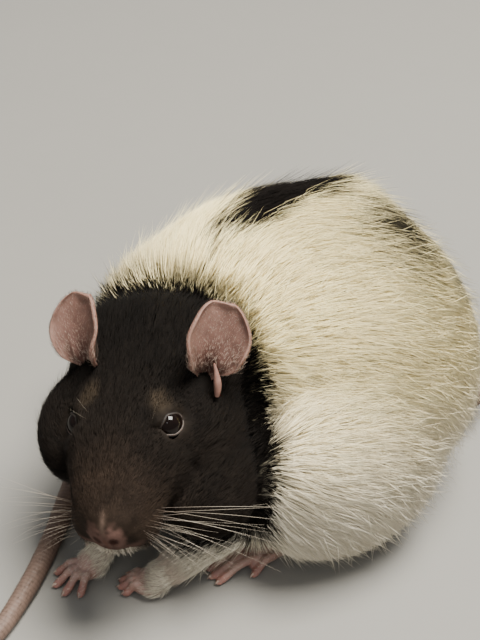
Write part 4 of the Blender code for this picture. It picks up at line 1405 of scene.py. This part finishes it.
@dataclass
class Foot:
    """A bare foot with its toes and claws, which stands for one node."""

    name: str
    side: Side
    toes: list
    flesh: list
    place: Axes
    white_hair: float = 1.0
    voxel: float = 0.28

    def colours(self, points: Array, normals: Array) -> Array:
        """Pink skin, greyer on top, redder at the fingertips, with painted shade near the floor."""
        made = mixed(PAW_PINK, PAW_TOP, blend(0.1, 0.9, normals[:, 2]))
        reach = nearest(points, [toe.path()[-1] for toe in self.toes])
        made = mixed(made, TOE_TIP, 1 - blend(1.2, 4.5, reach))
        made = made * (1 + 0.12 * wobble(points, 1.4, 21))[:, None]
        # Painted shade: the skin is darkened near the floor, where the foot meets it.
        return made * blend(-0.5, 1.3, points[:, 2])[:, None] ** 0.4

    def creases(self, points: Array, normals: Array) -> Array:
        """Shallow cross folds along each toe."""
        depth = np.zeros(len(points))
        for toe in self.toes:
            path = toe.path()
            offset = np.linalg.norm(points[:, None, :] - path[None], axis=2)
            nearest = np.argmin(offset, axis=1)
            steps = np.linalg.norm(np.diff(path, axis=0), axis=1)
            along = np.concatenate(([0], np.cumsum(steps)))[nearest]
            near = 1 - blend(1.5, 2.0, offset[np.arange(len(points)), nearest])
            depth = np.maximum(depth, near * blend(1.5, 3.0, along) * (0.5 + 0.5 * np.sin(along * 5.7)))
        return points - normals * (0.085 * depth)[:, None]

    def build(self, skin: bpy.types.Material, horn: bpy.types.Material) -> tuple:
        """Makes the foot and its claws."""
        fleshy = list(self.flesh)
        for toe in self.toes:
            fleshy += toe.flesh() + [toe.quick()]
        points, normals, faces = fused(self.name, fleshy, self.voxel, 3)
        points = self.creases(points, normals)
        points[:, 2] = np.maximum(points[:, 2], 0.02)
        piece = Piece(points, faces, self.colours(points, normals))
        made = piece.object(f"{self.name}_skin_{self.side.word}", skin)
        dressed(made, Slot.BARE_SKIN, f"{self.name}_{self.side.word}")
        claws = self.toes[0].claw()
        for toe in self.toes[1:]:
            claws = claws.joined(toe.claw())
        claws.colours = mixed(CLAW_DARK, CLAW_PALE, blend(-1, 1, wobble(claws.points, 1.5, 9)))
        dressed(claws.object(f"claws_{self.name}_{self.side.word}", horn), Slot.BARE_SKIN)
        count = len(points)
        surface = Surface(points, normals, faces, np.zeros(count), np.ones(count), np.ones(count))
        back = self.place.coordinates(points)[:, 0]
        top = blend(-0.1, 0.45, normals[:, 2]) * blend(1.4, 2.2, points[:, 2])
        wrist = blend(-5.5, -1.0, back)
        surface.columns = {
            "depth": np.zeros(count),
            "length": 1.0 + 0.5 * blend(-9, -4, back) + 1.8 * wrist,
            "width": 0.075 + 0.03 * wrist,
            "density": self.white_hair * np.maximum(5.0 * top, 15.0 * wrist * (normals[:, 2] > -0.6)),
            "lift": 12.0 + 5 * wrist,
        }
        fan = np.broadcast_to(self.place.forward, points.shape)
        surface.lie = unit(fan - normals * (fan * normals).sum(axis=1, keepdims=True))
        return made, surface

    def down(self, surface: Surface, material: bpy.types.Material, layout: SkinMap) -> bpy.types.Object:
        """Short white hairs on the back of the foot."""
        rng = np.random.default_rng(57 + len(self.name) * 3 + self.side.value)
        roots = scattered(surface, rng)
        colours = np.tile(WHITE * 0.95, (len(roots), 1))
        hairs = Hairs()
        hairs.grow(roots, roots.lie, colours, rng)
        return dressed(hairs.object(f"{self.name}_down_{self.side.word}", material, layout), Slot.WHITE_FUR)


def forepaw(side: Side) -> Foot:
    """A hand of four toes, with its palm and wrist."""
    heading, curl, fan = (-50.0, 0.62, 1.0) if side is Side.LEFT else (-2.0, 0.86, 1.45)
    wrist = np.array(WRIST[side], float)
    elbow_end = np.array((13, -41.5, 12.5) if side is Side.LEFT else (-13, -53, 9), float)
    radius = 4.3 if side is Side.LEFT else 4.1
    place = Axes.turned((wrist[0], wrist[1], 0), heading)
    inside = elbow_end + (wrist - elbow_end) * 0.35
    path = catmull([inside, wrist, place.point(-4.3, 0, 3.6), place.point(-6.5, 0, 2.9)], 5)
    widths = (radius * 0.66, radius * 0.8, 3.1, 2.2)
    radii = np.interp(np.linspace(0, 1, len(path)), (0, 0.34, 0.7, 1), widths)
    flesh = [tube(path, radii, 24), oval_ball(place, (-4.0, 0, 2.75), (5.1, 4.1, 2.6))]
    toes = []
    for spread, length in ((-24, 6.6), (-7, 8.2), (9, 8.0), (26, 6.4)):
        spread *= fan
        turned = Axes.turned(place.point(-2.85, 0, 0), heading + spread)
        root = turned.point(-3.53, 0, 0)
        toes.append(Toe(Axes.turned(root, heading + spread * 0.8), length * curl, 3.0))
    return Foot("forepaw", side, toes, flesh, place)


SOLE_LENGTH = 27.0  # of a hind foot, from the heel to the roots of its toes


def hindfoot(side: Side) -> Foot:
    """A long foot with five toes, its heel under the thigh."""
    heading = -22.0 + 9.0 * side.value
    back, out = (3.0, 19.0) if side is Side.LEFT else (-1.5, 21.5)
    place = Axes.turned(BODY.point(back, out * side.value, 0), heading)
    rows = [
        (-SOLE_LENGTH * share, 0, height / 2 - 0.1, half, height / 2 - 0.05)
        for share, half, height in (
            (-0.08, 2.0, 4.0),
            (0.0, 3.4, 7.3),
            (0.25, 3.4, 7.2),
            (0.6, 3.7, 5.5),
            (0.9, 4.3, 4.6),
            (1.04, 3.3, 3.4),
        )
    ]
    spots = ((2.5, 0, 5), (5, -1.5, 12), (2, -4, 20), (1, -5, 26))
    ankle = [place.point(*aside(spot, side)) for spot in spots]
    radii = np.interp(np.linspace(0, 3, 13), range(4), (3.5, 4.2, 5.2, 5.0))
    flesh = [oval_rows(place, rows), tube(catmull(ankle, 4), radii, 24)]
    toes = []
    for spread, length, share, across in (
        (-26, 7.5, 0.80, -3.2),
        (-10, 11.0, 0.97, -1.5),
        (0, 11.8, 0.97, 0.0),
        (10, 11.0, 0.97, 1.5),
        (27, 7.0, 0.80, 3.2),
    ):
        root = place.point(-SOLE_LENGTH * share, across, 0)
        toes.append(Toe(Axes.turned(root, heading + spread * 0.5), length, 2.6))
    return Foot("hindfoot", side, toes, flesh, place, voxel=0.38)


@dataclass
class NodeBuilder:
    """Adds and joins nodes in one tree."""

    tree: bpy.types.NodeTree

    def add(self, kind: str, values: dict | None = None, **settings: object) -> bpy.types.Node:
        """One node with its settings and unlinked input values."""
        node = self.tree.nodes.new(kind)
        for name, value in settings.items():
            setattr(node, name, value)
        for name, value in (values or {}).items():
            node.inputs[name].default_value = value
        return node

    def join(self, start: bpy.types.NodeSocket, end: bpy.types.NodeSocket) -> None:
        """Links an output to an input."""
        self.tree.links.new(start, end)

    def inputs(self, kinds: dict) -> bpy.types.Node:
        """Makes the tree's named inputs and its input node."""
        for name, kind in kinds.items():
            self.tree.interface.new_socket(name, in_out="INPUT", socket_type=kind)
        return self.tree.nodes.new("NodeGroupInput")

    def outputs(self, kinds: dict) -> bpy.types.Node:
        """Makes the tree's named outputs and its output node."""
        for name, kind in kinds.items():
            self.tree.interface.new_socket(name, in_out="OUTPUT", socket_type=kind)
        return self.tree.nodes.new("NodeGroupOutput")


@dataclass
class Strands:
    """Lines turned into round strands, ringed if wanted, by Geometry Nodes."""

    sides: int = 6
    ring_spacing: float = 1.0
    ring_depth: float = 0.0

    def tree(self, material: bpy.types.Material) -> bpy.types.NodeTree:
        """Builds the node tree that sweeps a circle along each line."""
        tree = bpy.data.node_groups.new("round_strands", "GeometryNodeTree")
        nodes = NodeBuilder(tree)
        given = nodes.inputs(
            {
                "Geometry": "NodeSocketGeometry",
                "Sides": "NodeSocketInt",
                "Ring Spacing": "NodeSocketFloat",
                "Ring Depth": "NodeSocketFloat",
            }
        )
        result = nodes.outputs({"Geometry": "NodeSocketGeometry"})
        curves = nodes.add("GeometryNodeMeshToCurve")
        circle = nodes.add("GeometryNodeCurvePrimitiveCircle", {"Radius": 1.0})
        thickness = nodes.add("GeometryNodeInputNamedAttribute", {"Name": "thickness"}, data_type="FLOAT")
        spline = nodes.add("GeometryNodeSplineParameter")
        rings = nodes.add("ShaderNodeMath", operation="DIVIDE")
        wave = nodes.add("ShaderNodeMath", operation="FRACT")
        fall = nodes.add("ShaderNodeMath", operation="MULTIPLY")
        less = nodes.add("ShaderNodeMath", operation="SUBTRACT")
        less.inputs[0].default_value = 1.0
        scale = nodes.add("ShaderNodeMath", operation="MULTIPLY")
        sweep = nodes.add("GeometryNodeCurveToMesh", {"Fill Caps": True})
        smooth = nodes.add("GeometryNodeSetShadeSmooth")
        real = nodes.add("GeometryNodeRealizeInstances")
        finish = nodes.add("GeometryNodeSetMaterial", {"Material": material})
        nodes.join(given.outputs["Geometry"], curves.inputs[0])
        nodes.join(given.outputs["Sides"], circle.inputs["Resolution"])
        nodes.join(spline.outputs["Length"], rings.inputs[0])
        nodes.join(given.outputs["Ring Spacing"], rings.inputs[1])
        nodes.join(rings.outputs[0], wave.inputs[0])
        nodes.join(wave.outputs[0], fall.inputs[0])
        nodes.join(given.outputs["Ring Depth"], fall.inputs[1])
        nodes.join(fall.outputs[0], less.inputs[1])
        nodes.join(less.outputs[0], scale.inputs[0])
        nodes.join(thickness.outputs["Attribute"], scale.inputs[1])
        nodes.join(curves.outputs[0], sweep.inputs["Curve"])
        nodes.join(circle.outputs["Curve"], sweep.inputs["Profile Curve"])
        nodes.join(scale.outputs[0], sweep.inputs["Scale"])
        nodes.join(sweep.outputs[0], smooth.inputs[0])
        nodes.join(smooth.outputs[0], real.inputs[0])
        nodes.join(real.outputs[0], finish.inputs[0])
        nodes.join(finish.outputs[0], result.inputs[0])
        return tree

    def build(self, name: str, lines: list, material: bpy.types.Material) -> bpy.types.Object:
        """Makes one mesh of all the strands.

        Args:
            name: the object's name.
            lines: for each strand its points, its radii in millimetres and its colours.
            material: their finish.

        Returns:
            The object, a plain mesh.
        """
        mesh = bpy.data.meshes.new(name)
        points = np.vstack([line[0] for line in lines])
        edges, start = [], 0
        for line, _, _ in lines:
            edges += [(start + step, start + step + 1) for step in range(len(line) - 1)]
            start += len(line)
        mesh.from_pydata(metres(points), edges, [])
        radii = np.concatenate([line[1] for line in lines]) * MM
        mesh.attributes.new("thickness", "FLOAT", "POINT").data.foreach_set("value", radii.astype(np.float32))
        tinted(mesh, np.vstack([line[2] for line in lines]))
        obj = linked(name, mesh)
        modifier = obj.modifiers.new("Strands", "NODES")
        modifier.node_group = self.tree(material)
        values = {"Sides": self.sides, "Ring Spacing": self.ring_spacing * MM, "Ring Depth": self.ring_depth}
        for item in modifier.node_group.interface.items_tree:
            if item.in_out == "INPUT" and item.name in values:
                modifier[item.identifier] = values[item.name]
        graph = bpy.context.evaluated_depsgraph_get()
        made = bpy.data.meshes.new_from_object(obj.evaluated_get(graph))
        obj.modifiers.clear()
        obj.data = made
        made.name = name
        return obj


@dataclass
class Tail:
    """A ringed tail, thick at the root, that lies on the floor round the body."""

    spacing: float = 1.15
    step: float = 0.23
    rows: tuple = (
        (18, 38, 17, 6.4),
        (21, 50, 13, 6.2),
        (16, 60, 8, 5.7),
        (-2, 65, 5.1, 5.1),
        (-24, 58, 4.6, 4.6),
        (-41, 42, 4.3, 4.3),
        (-50, 18, 4, 4),
        (-52, -8, 3.7, 3.7),
        (-45, -30, 3.4, 3.4),
        (-34, -48, 3.1, 3.1),
        (-22, -64, 2.8, 2.8),
        (-12, -80, 2.6, 2.6),
        (-6, -95, 2.3, 2.3),
        (-9, -108, 2, 2),
        (-20, -116, 1.7, 1.7),
        (-34, -117, 1.1, 1.0),
    )

    def path(self) -> tuple[Array, Array]:
        """Evenly spaced points and radii."""
        rows = catmull(self.rows, 12)
        rows[:, 2] = np.maximum(rows[:, 2], rows[:, 3])
        along = np.concatenate(([0], np.cumsum(np.linalg.norm(np.diff(rows[:, :3], axis=0), axis=1))))
        even = np.arange(0, along[-1], self.step)
        made = np.stack([np.interp(even, along, rows[:, column]) for column in range(4)], axis=1)
        radius = made[:, 3] - 0.05
        tip = np.clip((along[-1] - even) / 1.2, 0.05, 1)
        return made[:, :3], radius * np.sqrt(1 - (1 - tip) ** 2)

    def build(self, material: bpy.types.Material, down: bpy.types.Material, layout: SkinMap) -> None:
        """Makes the tail and its sparse bristles."""
        points, radii = self.path()
        along = np.arange(len(points)) * self.step
        colours = mixed(TAIL_BROWN, TAIL_PALE, blend(150, 280, along))
        places = np.stack((along, along * 0, along * 0), axis=1)
        colours = colours * (1 + 0.16 * wobble(places, 7.0, 5))[:, None]
        colours = colours * (0.80 + 0.2 * ((along / self.spacing) % 1.0 < 0.72))[:, None]
        strands = Strands(sides=22, ring_spacing=self.spacing, ring_depth=0.055)
        obj = strands.build("tail_rings", [(points, radii, colours)], material)
        dressed(obj, Slot.TAIL_SKIN, "tail_root", "tail_middle", "tail_tip")
        self.bristles(points, radii, down, layout)

    def bristles(self, points: Array, radii: Array, material: bpy.types.Material, layout: SkinMap) -> None:
        """Short hairs that start under the rings and lie towards the tip."""
        rng = np.random.default_rng(90)
        ahead = unit(np.gradient(points, axis=0))
        count = 4200
        picked = rng.integers(20, len(points) - 8, count)
        picked = np.round(np.round(picked * self.step / self.spacing) * self.spacing / self.step).astype(int)
        picked = np.clip(picked, 0, len(points) - 1)
        side = unit(np.cross(ahead[picked], (0.0, 0.0, 1.0)))
        over = np.cross(side, ahead[picked])
        turn = rng.uniform(-0.3, math.pi + 0.3, count)[:, None]
        normals = unit(np.cos(turn) * side + np.sin(turn) * over)
        places = points[picked] + normals * (radii[picked] * 0.97)[:, None]
        thick = radii[picked]
        columns = {
            "length": 1.5 + 0.25 * thick,
            "width": np.full(count, 0.07),
            "lift": np.full(count, 14.0),
            "depth": np.zeros(count),
            "density": np.zeros(count),
        }
        roots = Roots(places, normals, ahead[picked], columns, np.zeros(count), np.zeros(count))
        colours = np.tile(BRISTLE_BROWN, (count, 1))
        hairs = Hairs()
        hairs.grow(roots, ahead[picked], colours, rng)
        dressed(hairs.object("tail_bristles", material, layout), Slot.TAIL_SKIN)


@dataclass
class Whiskers:
    """Long bending hairs beside the nose, a few over the eyes and on the chin, and a fringe on the lips."""

    rows: int = 5
    columns: int = 5
    thickness: float = 0.034
    fringe_count: int = 55

    def root(self, skin: BVHTree, place: tuple, side: Side) -> Array:
        """The point of the face nearest to a place in the head's frame."""
        found = skin.find_nearest(Vector(HEAD.point(*aside(place, side))))
        return np.array(found[0]) - np.array(found[1]) * 0.2

    def line(self, root: Array, direction: Array, length: float, sag: float, sweep: float) -> Array:
        """Points of one whisker that bends back and down."""
        share = np.linspace(0, 1, 15)[:, None]
        back = -HEAD.forward
        made = root + unit(direction) * length * share + back * sweep * length * share**2
        made = made + np.array((0.0, 0.0, -1.0)) * sag * length * share**2.2
        made[:, 2] = np.maximum(made[:, 2], 0.4)
        return made

    def build(self, skin: Surface, material: bpy.types.Material) -> None:
        """Makes the whiskers and the fringe as one piece for each side."""
        tree = BVHTree.FromPolygons([Vector(point) for point in skin.points], skin.faces)
        for side in Side:
            rng = np.random.default_rng(41 + side.value)
            lines = []
            for row in range(self.rows):
                for column in range(self.columns + (row in (1, 2, 3))):
                    place = (4.5 + 1.4 * column + rng.normal(0, 0.2), 8.0, -0.4 - 1.25 * row)
                    root = self.root(tree, place, side)
                    length = (11 + 5.0 * column + rng.uniform(-3, 3)) * (0.8, 1.0, 1.0, 0.8, 0.5)[row]
                    direction = HEAD.direction(0.36 - 0.15 * column, side.value, -0.10 - 0.13 * row)
                    direction = unit(direction + rng.normal(0, 0.12, 3))
                    path = self.line(root, direction, length, rng.uniform(0.05, 0.22), rng.uniform(0.0, 0.12))
                    lines.append(self.strand(path, self.thickness * (0.7 + 0.12 * column)))
            for number in range(2):
                root = self.root(tree, (24.5 + number * 1.6, 8.0, 13.0), side)
                direction = HEAD.direction(0.3 - 0.3 * number, 0.35 * side.value, 0.9)
                lines.append(self.strand(self.line(root, direction, 8.5 - number * 2, 0.35, 0.3), 0.016))
            for number in range(4):
                root = self.root(tree, (6.0 + number * 1.5, 1.5 + number * 0.4, -9.0), side)
                direction = HEAD.direction(0.1, 0.5 * side.value, -0.9)
                lines.append(self.strand(self.line(root, direction, 5.0, 0.0, 0.3), 0.03))
            lines += self.fringe(tree, side, rng)
            obj = Strands(sides=5).build(f"whiskers_{side.word}", lines, material)
            dressed(obj, Slot.WHITE_FUR)

    def fringe(self, tree: BVHTree, side: Side, rng: np.random.Generator) -> list:
        """Short white hairs that hang from the lips under the nose."""
        made = []
        for _ in range(self.fringe_count):
            place = (rng.uniform(0.2, 5.0), rng.uniform(0.0, 4.8), rng.uniform(-5.4, -3.8))
            root = self.root(tree, place, side)
            direction = HEAD.direction(0.25 + rng.normal(0, 0.2), side.value * rng.uniform(0.0, 0.35), -1.0)
            path = self.line(root, direction, rng.uniform(1.6, 3.0), 0.0, 0.15)
            share = np.linspace(0, 1, len(path))
            made.append((path, 0.055 * (1 - 0.8 * share), np.tile(LIP_WHITE, (len(path), 1))))
        return made

    def strand(self, path: Array, thickness: float) -> tuple[Array, Array, Array]:
        """A whisker's points, radii and colours, dark at the root."""
        share = np.linspace(0, 1, len(path))
        radii = thickness * (1 - 0.8 * share)
        return path, radii, mixed(WHISKER_DARK, WHISKER_PALE, blend(0.05, 0.5, share))


def grain_group() -> bpy.types.NodeTree:
    """The shared effect of small bumps and mottling, built once."""
    if "fine_grain" in bpy.data.node_groups:
        return bpy.data.node_groups["fine_grain"]
    tree = bpy.data.node_groups.new("fine_grain", "ShaderNodeTree")
    nodes = NodeBuilder(tree)
    given = nodes.inputs(
        {
            "Colour": "NodeSocketColor",
            "Scale": "NodeSocketFloat",
            "Relief": "NodeSocketFloat",
            "Mottle": "NodeSocketFloat",
            "Roughness": "NodeSocketFloat",
        }
    )
    result = nodes.outputs(
        {"Colour": "NodeSocketColor", "Roughness": "NodeSocketFloat", "Normal": "NodeSocketVector"}
    )
    place = nodes.add("ShaderNodeTexCoord")
    fine = nodes.add("ShaderNodeTexNoise", {"Detail": 3.0, "Roughness": 0.6})
    broad = nodes.add("ShaderNodeTexNoise", {"Detail": 2.0})
    wider = nodes.add("ShaderNodeMath", operation="MULTIPLY")
    wider.inputs[1].default_value = 0.17
    both = nodes.add("ShaderNodeMath", operation="ADD")
    centred = nodes.add("ShaderNodeMath", operation="SUBTRACT")
    centred.inputs[1].default_value = 1.0
    amount = nodes.add("ShaderNodeMath", operation="MULTIPLY")
    factor = nodes.add("ShaderNodeMath", operation="ADD")
    factor.inputs[1].default_value = 1.0
    tinted = nodes.add("ShaderNodeVectorMath", operation="SCALE")
    rough = nodes.add("ShaderNodeMath", operation="MULTIPLY", use_clamp=True)
    bump = nodes.add("ShaderNodeBump", {"Strength": 1.0})
    nodes.join(place.outputs["Object"], fine.inputs["Vector"])
    nodes.join(place.outputs["Object"], broad.inputs["Vector"])
    nodes.join(given.outputs["Scale"], fine.inputs["Scale"])
    nodes.join(given.outputs["Scale"], wider.inputs[0])
    nodes.join(wider.outputs[0], broad.inputs["Scale"])
    nodes.join(fine.outputs[0], both.inputs[0])
    nodes.join(broad.outputs[0], both.inputs[1])
    nodes.join(both.outputs[0], centred.inputs[0])
    nodes.join(centred.outputs[0], amount.inputs[0])
    nodes.join(given.outputs["Mottle"], amount.inputs[1])
    nodes.join(amount.outputs[0], factor.inputs[0])
    nodes.join(given.outputs["Colour"], tinted.inputs[0])
    nodes.join(factor.outputs[0], tinted.inputs["Scale"])
    nodes.join(given.outputs["Roughness"], rough.inputs[0])
    nodes.join(factor.outputs[0], rough.inputs[1])
    nodes.join(fine.outputs[0], bump.inputs["Height"])
    nodes.join(given.outputs["Relief"], bump.inputs["Distance"])
    nodes.join(tinted.outputs[0], result.inputs["Colour"])
    nodes.join(rough.outputs[0], result.inputs["Roughness"])
    nodes.join(bump.outputs[0], result.inputs["Normal"])
    return tree


@dataclass(frozen=True)
class Finish:
    """A finish over the piece's own tint, with bumps and mottling of its own size."""

    name: str
    bump_size: float
    relief: float
    mottle: float
    roughness: float
    specular: float = 0.5
    sheen: float = 0.0
    subsurface: float = 0.0
    clear: float = 0.0

    def material(self) -> bpy.types.Material:
        """Builds the material."""
        made = bpy.data.materials.new(self.name)
        made.use_nodes = True
        nodes = NodeBuilder(made.node_tree)
        shader = made.node_tree.nodes["Principled BSDF"]
        tint = nodes.add("ShaderNodeAttribute", attribute_name="tint")
        grain = nodes.add("ShaderNodeGroup", node_tree=grain_group())
        grain.inputs["Scale"].default_value = 1 / (self.bump_size * MM)
        grain.inputs["Relief"].default_value = self.relief * MM
        grain.inputs["Mottle"].default_value = self.mottle
        grain.inputs["Roughness"].default_value = self.roughness
        nodes.join(tint.outputs["Color"], grain.inputs["Colour"])
        nodes.join(grain.outputs["Colour"], shader.inputs["Base Color"])
        nodes.join(grain.outputs["Roughness"], shader.inputs["Roughness"])
        nodes.join(grain.outputs["Normal"], shader.inputs["Normal"])
        shader.inputs["Specular IOR Level"].default_value = self.specular
        shader.inputs["Sheen Weight"].default_value = self.sheen
        shader.inputs["Coat Weight"].default_value = self.clear
        if self.subsurface:
            shader.inputs["Subsurface Weight"].default_value = self.subsurface
            shader.inputs["Subsurface Radius"].default_value = (1.0, 0.35, 0.2)
            shader.inputs["Subsurface Scale"].default_value = 0.0012
        return made


@dataclass(frozen=True)
class EyeFinish:
    """Wet black, a little brown where the light enters."""

    name: str = "wet_black_eye"

    def material(self) -> bpy.types.Material:
        """Builds the material."""
        made = bpy.data.materials.new(self.name)
        made.use_nodes = True
        nodes = NodeBuilder(made.node_tree)
        shader = made.node_tree.nodes["Principled BSDF"]
        place = nodes.add("ShaderNodeTexCoord")
        noise = nodes.add("ShaderNodeTexNoise", {"Scale": 900.0, "Detail": 2.0})
        ramp = nodes.add("ShaderNodeValToRGB")
        ramp.color_ramp.elements[0].color = (0.0022, 0.0016, 0.0014, 1)
        ramp.color_ramp.elements[1].color = (0.0075, 0.0038, 0.0028, 1)
        nodes.join(place.outputs["Object"], noise.inputs["Vector"])
        nodes.join(noise.outputs[0], ramp.inputs[0])
        nodes.join(ramp.outputs[0], shader.inputs["Base Color"])
        shader.inputs["Roughness"].default_value = 0.05
        shader.inputs["Specular IOR Level"].default_value = 0.25
        return made


@dataclass
class Studio:
    """A pale floor, soft light and the camera of the photograph."""

    floor_tone: tuple = (0.24, 0.232, 0.21)
    azimuth: float = 47.0
    elevation: float = 38.0
    place: tuple = (154.8, -162.1, 228.0)
    lens: float = 63.28

    def floor(self) -> None:
        """A wide plain floor."""
        bpy.ops.mesh.primitive_plane_add(size=6.0, location=(0, 0, 0))
        obj = bpy.context.object
        obj.name = "floor"
        made = bpy.data.materials.new("plain_floor")
        made.use_nodes = True
        nodes = NodeBuilder(made.node_tree)
        shader = made.node_tree.nodes["Principled BSDF"]
        grain = nodes.add("ShaderNodeGroup", node_tree=grain_group())
        grain.inputs["Colour"].default_value = (*self.floor_tone, 1)
        grain.inputs["Scale"].default_value = 90
        grain.inputs["Relief"].default_value = 0.0
        grain.inputs["Mottle"].default_value = 0.03
        grain.inputs["Roughness"].default_value = 0.7
        nodes.join(grain.outputs["Colour"], shader.inputs["Base Color"])
        nodes.join(grain.outputs["Roughness"], shader.inputs["Roughness"])
        obj.data.materials.append(made)

    def lamp(self, name: str, place: tuple, size: float, power: float, tone: tuple) -> bpy.types.Object:
        """A soft square light that faces the rat."""
        light = bpy.data.lights.new(name, "AREA")
        light.size, light.energy, light.color = size, power, tone
        obj = bpy.data.objects.new(name, light)
        obj.location = place
        obj.rotation_euler = (Vector((0, 0, 0.03)) - Vector(place)).to_track_quat("-Z", "Y").to_euler()
        bpy.context.scene.collection.objects.link(obj)
        return obj

    def lights(self) -> None:
        """A warm main light over the far right, a faint fill and a small light for the eyes."""
        self.lamp("main_light", (0.22, 0.30, 1.25), 0.6, 54.0, (1.0, 0.965, 0.90))
        self.lamp("fill_light", (1.0, -0.8, 1.2), 2.6, 13.0, (1.0, 0.98, 0.95)).visible_glossy = False
        self.lamp("catch_light", (0.50, -0.62, 1.05), 0.10, 0.6, (1.0, 1.0, 1.0))
        world = bpy.data.worlds.new("soft_room")
        world.use_nodes = True
        world.node_tree.nodes["Background"].inputs["Color"].default_value = (0.92, 0.95, 1.0, 1)
        world.node_tree.nodes["Background"].inputs["Strength"].default_value = 0.24
        bpy.context.scene.world = world

    def camera(self) -> None:
        """Stands where the photograph was taken from."""
        azimuth, elevation = math.radians(self.azimuth), math.radians(self.elevation)
        right = Vector((math.cos(azimuth), math.sin(azimuth), 0))
        ahead = Vector(
            (
                -math.sin(azimuth) * math.cos(elevation),
                math.cos(azimuth) * math.cos(elevation),
                -math.sin(elevation),
            )
        )
        above = right.cross(ahead)
        data = bpy.data.cameras.new("camera")
        data.lens, data.sensor_width, data.sensor_fit = self.lens, 36.0, "AUTO"
        data.clip_start, data.clip_end = 0.01, 20.0
        obj = bpy.data.objects.new("camera", data)
        turn = Matrix((right, above, -ahead)).transposed().to_4x4()
        obj.matrix_world = Matrix.Translation(metres(np.array([self.place]))[0]) @ turn
        bpy.context.scene.collection.objects.link(obj)
        bpy.context.scene.camera = obj

    def build(self) -> None:
        """Sets the stage."""
        self.floor()
        self.lights()
        self.camera()


def main() -> None:
    """Builds the rat piece by piece."""
    logging.basicConfig(level=logging.INFO, format="%(message)s")
    Studio().build()
    fur = Finish("soft_fur", 0.9, 0.02, 0.10, 0.62, specular=0.07, sheen=0.01).material()
    hide = Finish("skin_under_fur", 0.6, 0.08, 0.2, 0.75, specular=0.07).material()
    bare = Finish("bare_ear_and_lid", 0.35, 0.08, 0.18, 0.6, specular=0.3, subsurface=0.15).material()
    paw = Finish("bare_paw", 0.3, 0.06, 0.12, 0.5, specular=0.45, subsurface=0.2).material()
    scales = Finish("tail_scales", 0.35, 0.05, 0.22, 0.6, specular=0.4).material()
    horn = Finish("claw_horn", 0.5, 0.01, 0.08, 0.3, specular=0.5, subsurface=0.1).material()
    hair = Finish("whisker_hair", 0.5, 0.0, 0.05, 0.4, specular=0.5).material()
    wet = EyeFinish().material()
    skin = Skin()
    skin.build(hide)
    layout = SkinMap()
    layout.build(skin)
    Coat().build(skin, layout, fur)
    eyes = Eyes()
    for side in Side:
        eyes.ball(side, wet)
        eyes.lids(side, bare)
        ear = Ear(side)
        ear.down(ear.build(bare)[1], fur, layout)
        for foot in (forepaw(side), hindfoot(side)):
            foot.down(foot.build(paw, horn)[1], fur, layout)
    Tail().build(scales, fur, layout)
    Whiskers().build(skin.face, hair)


if __name__ == "__main__":
    main()
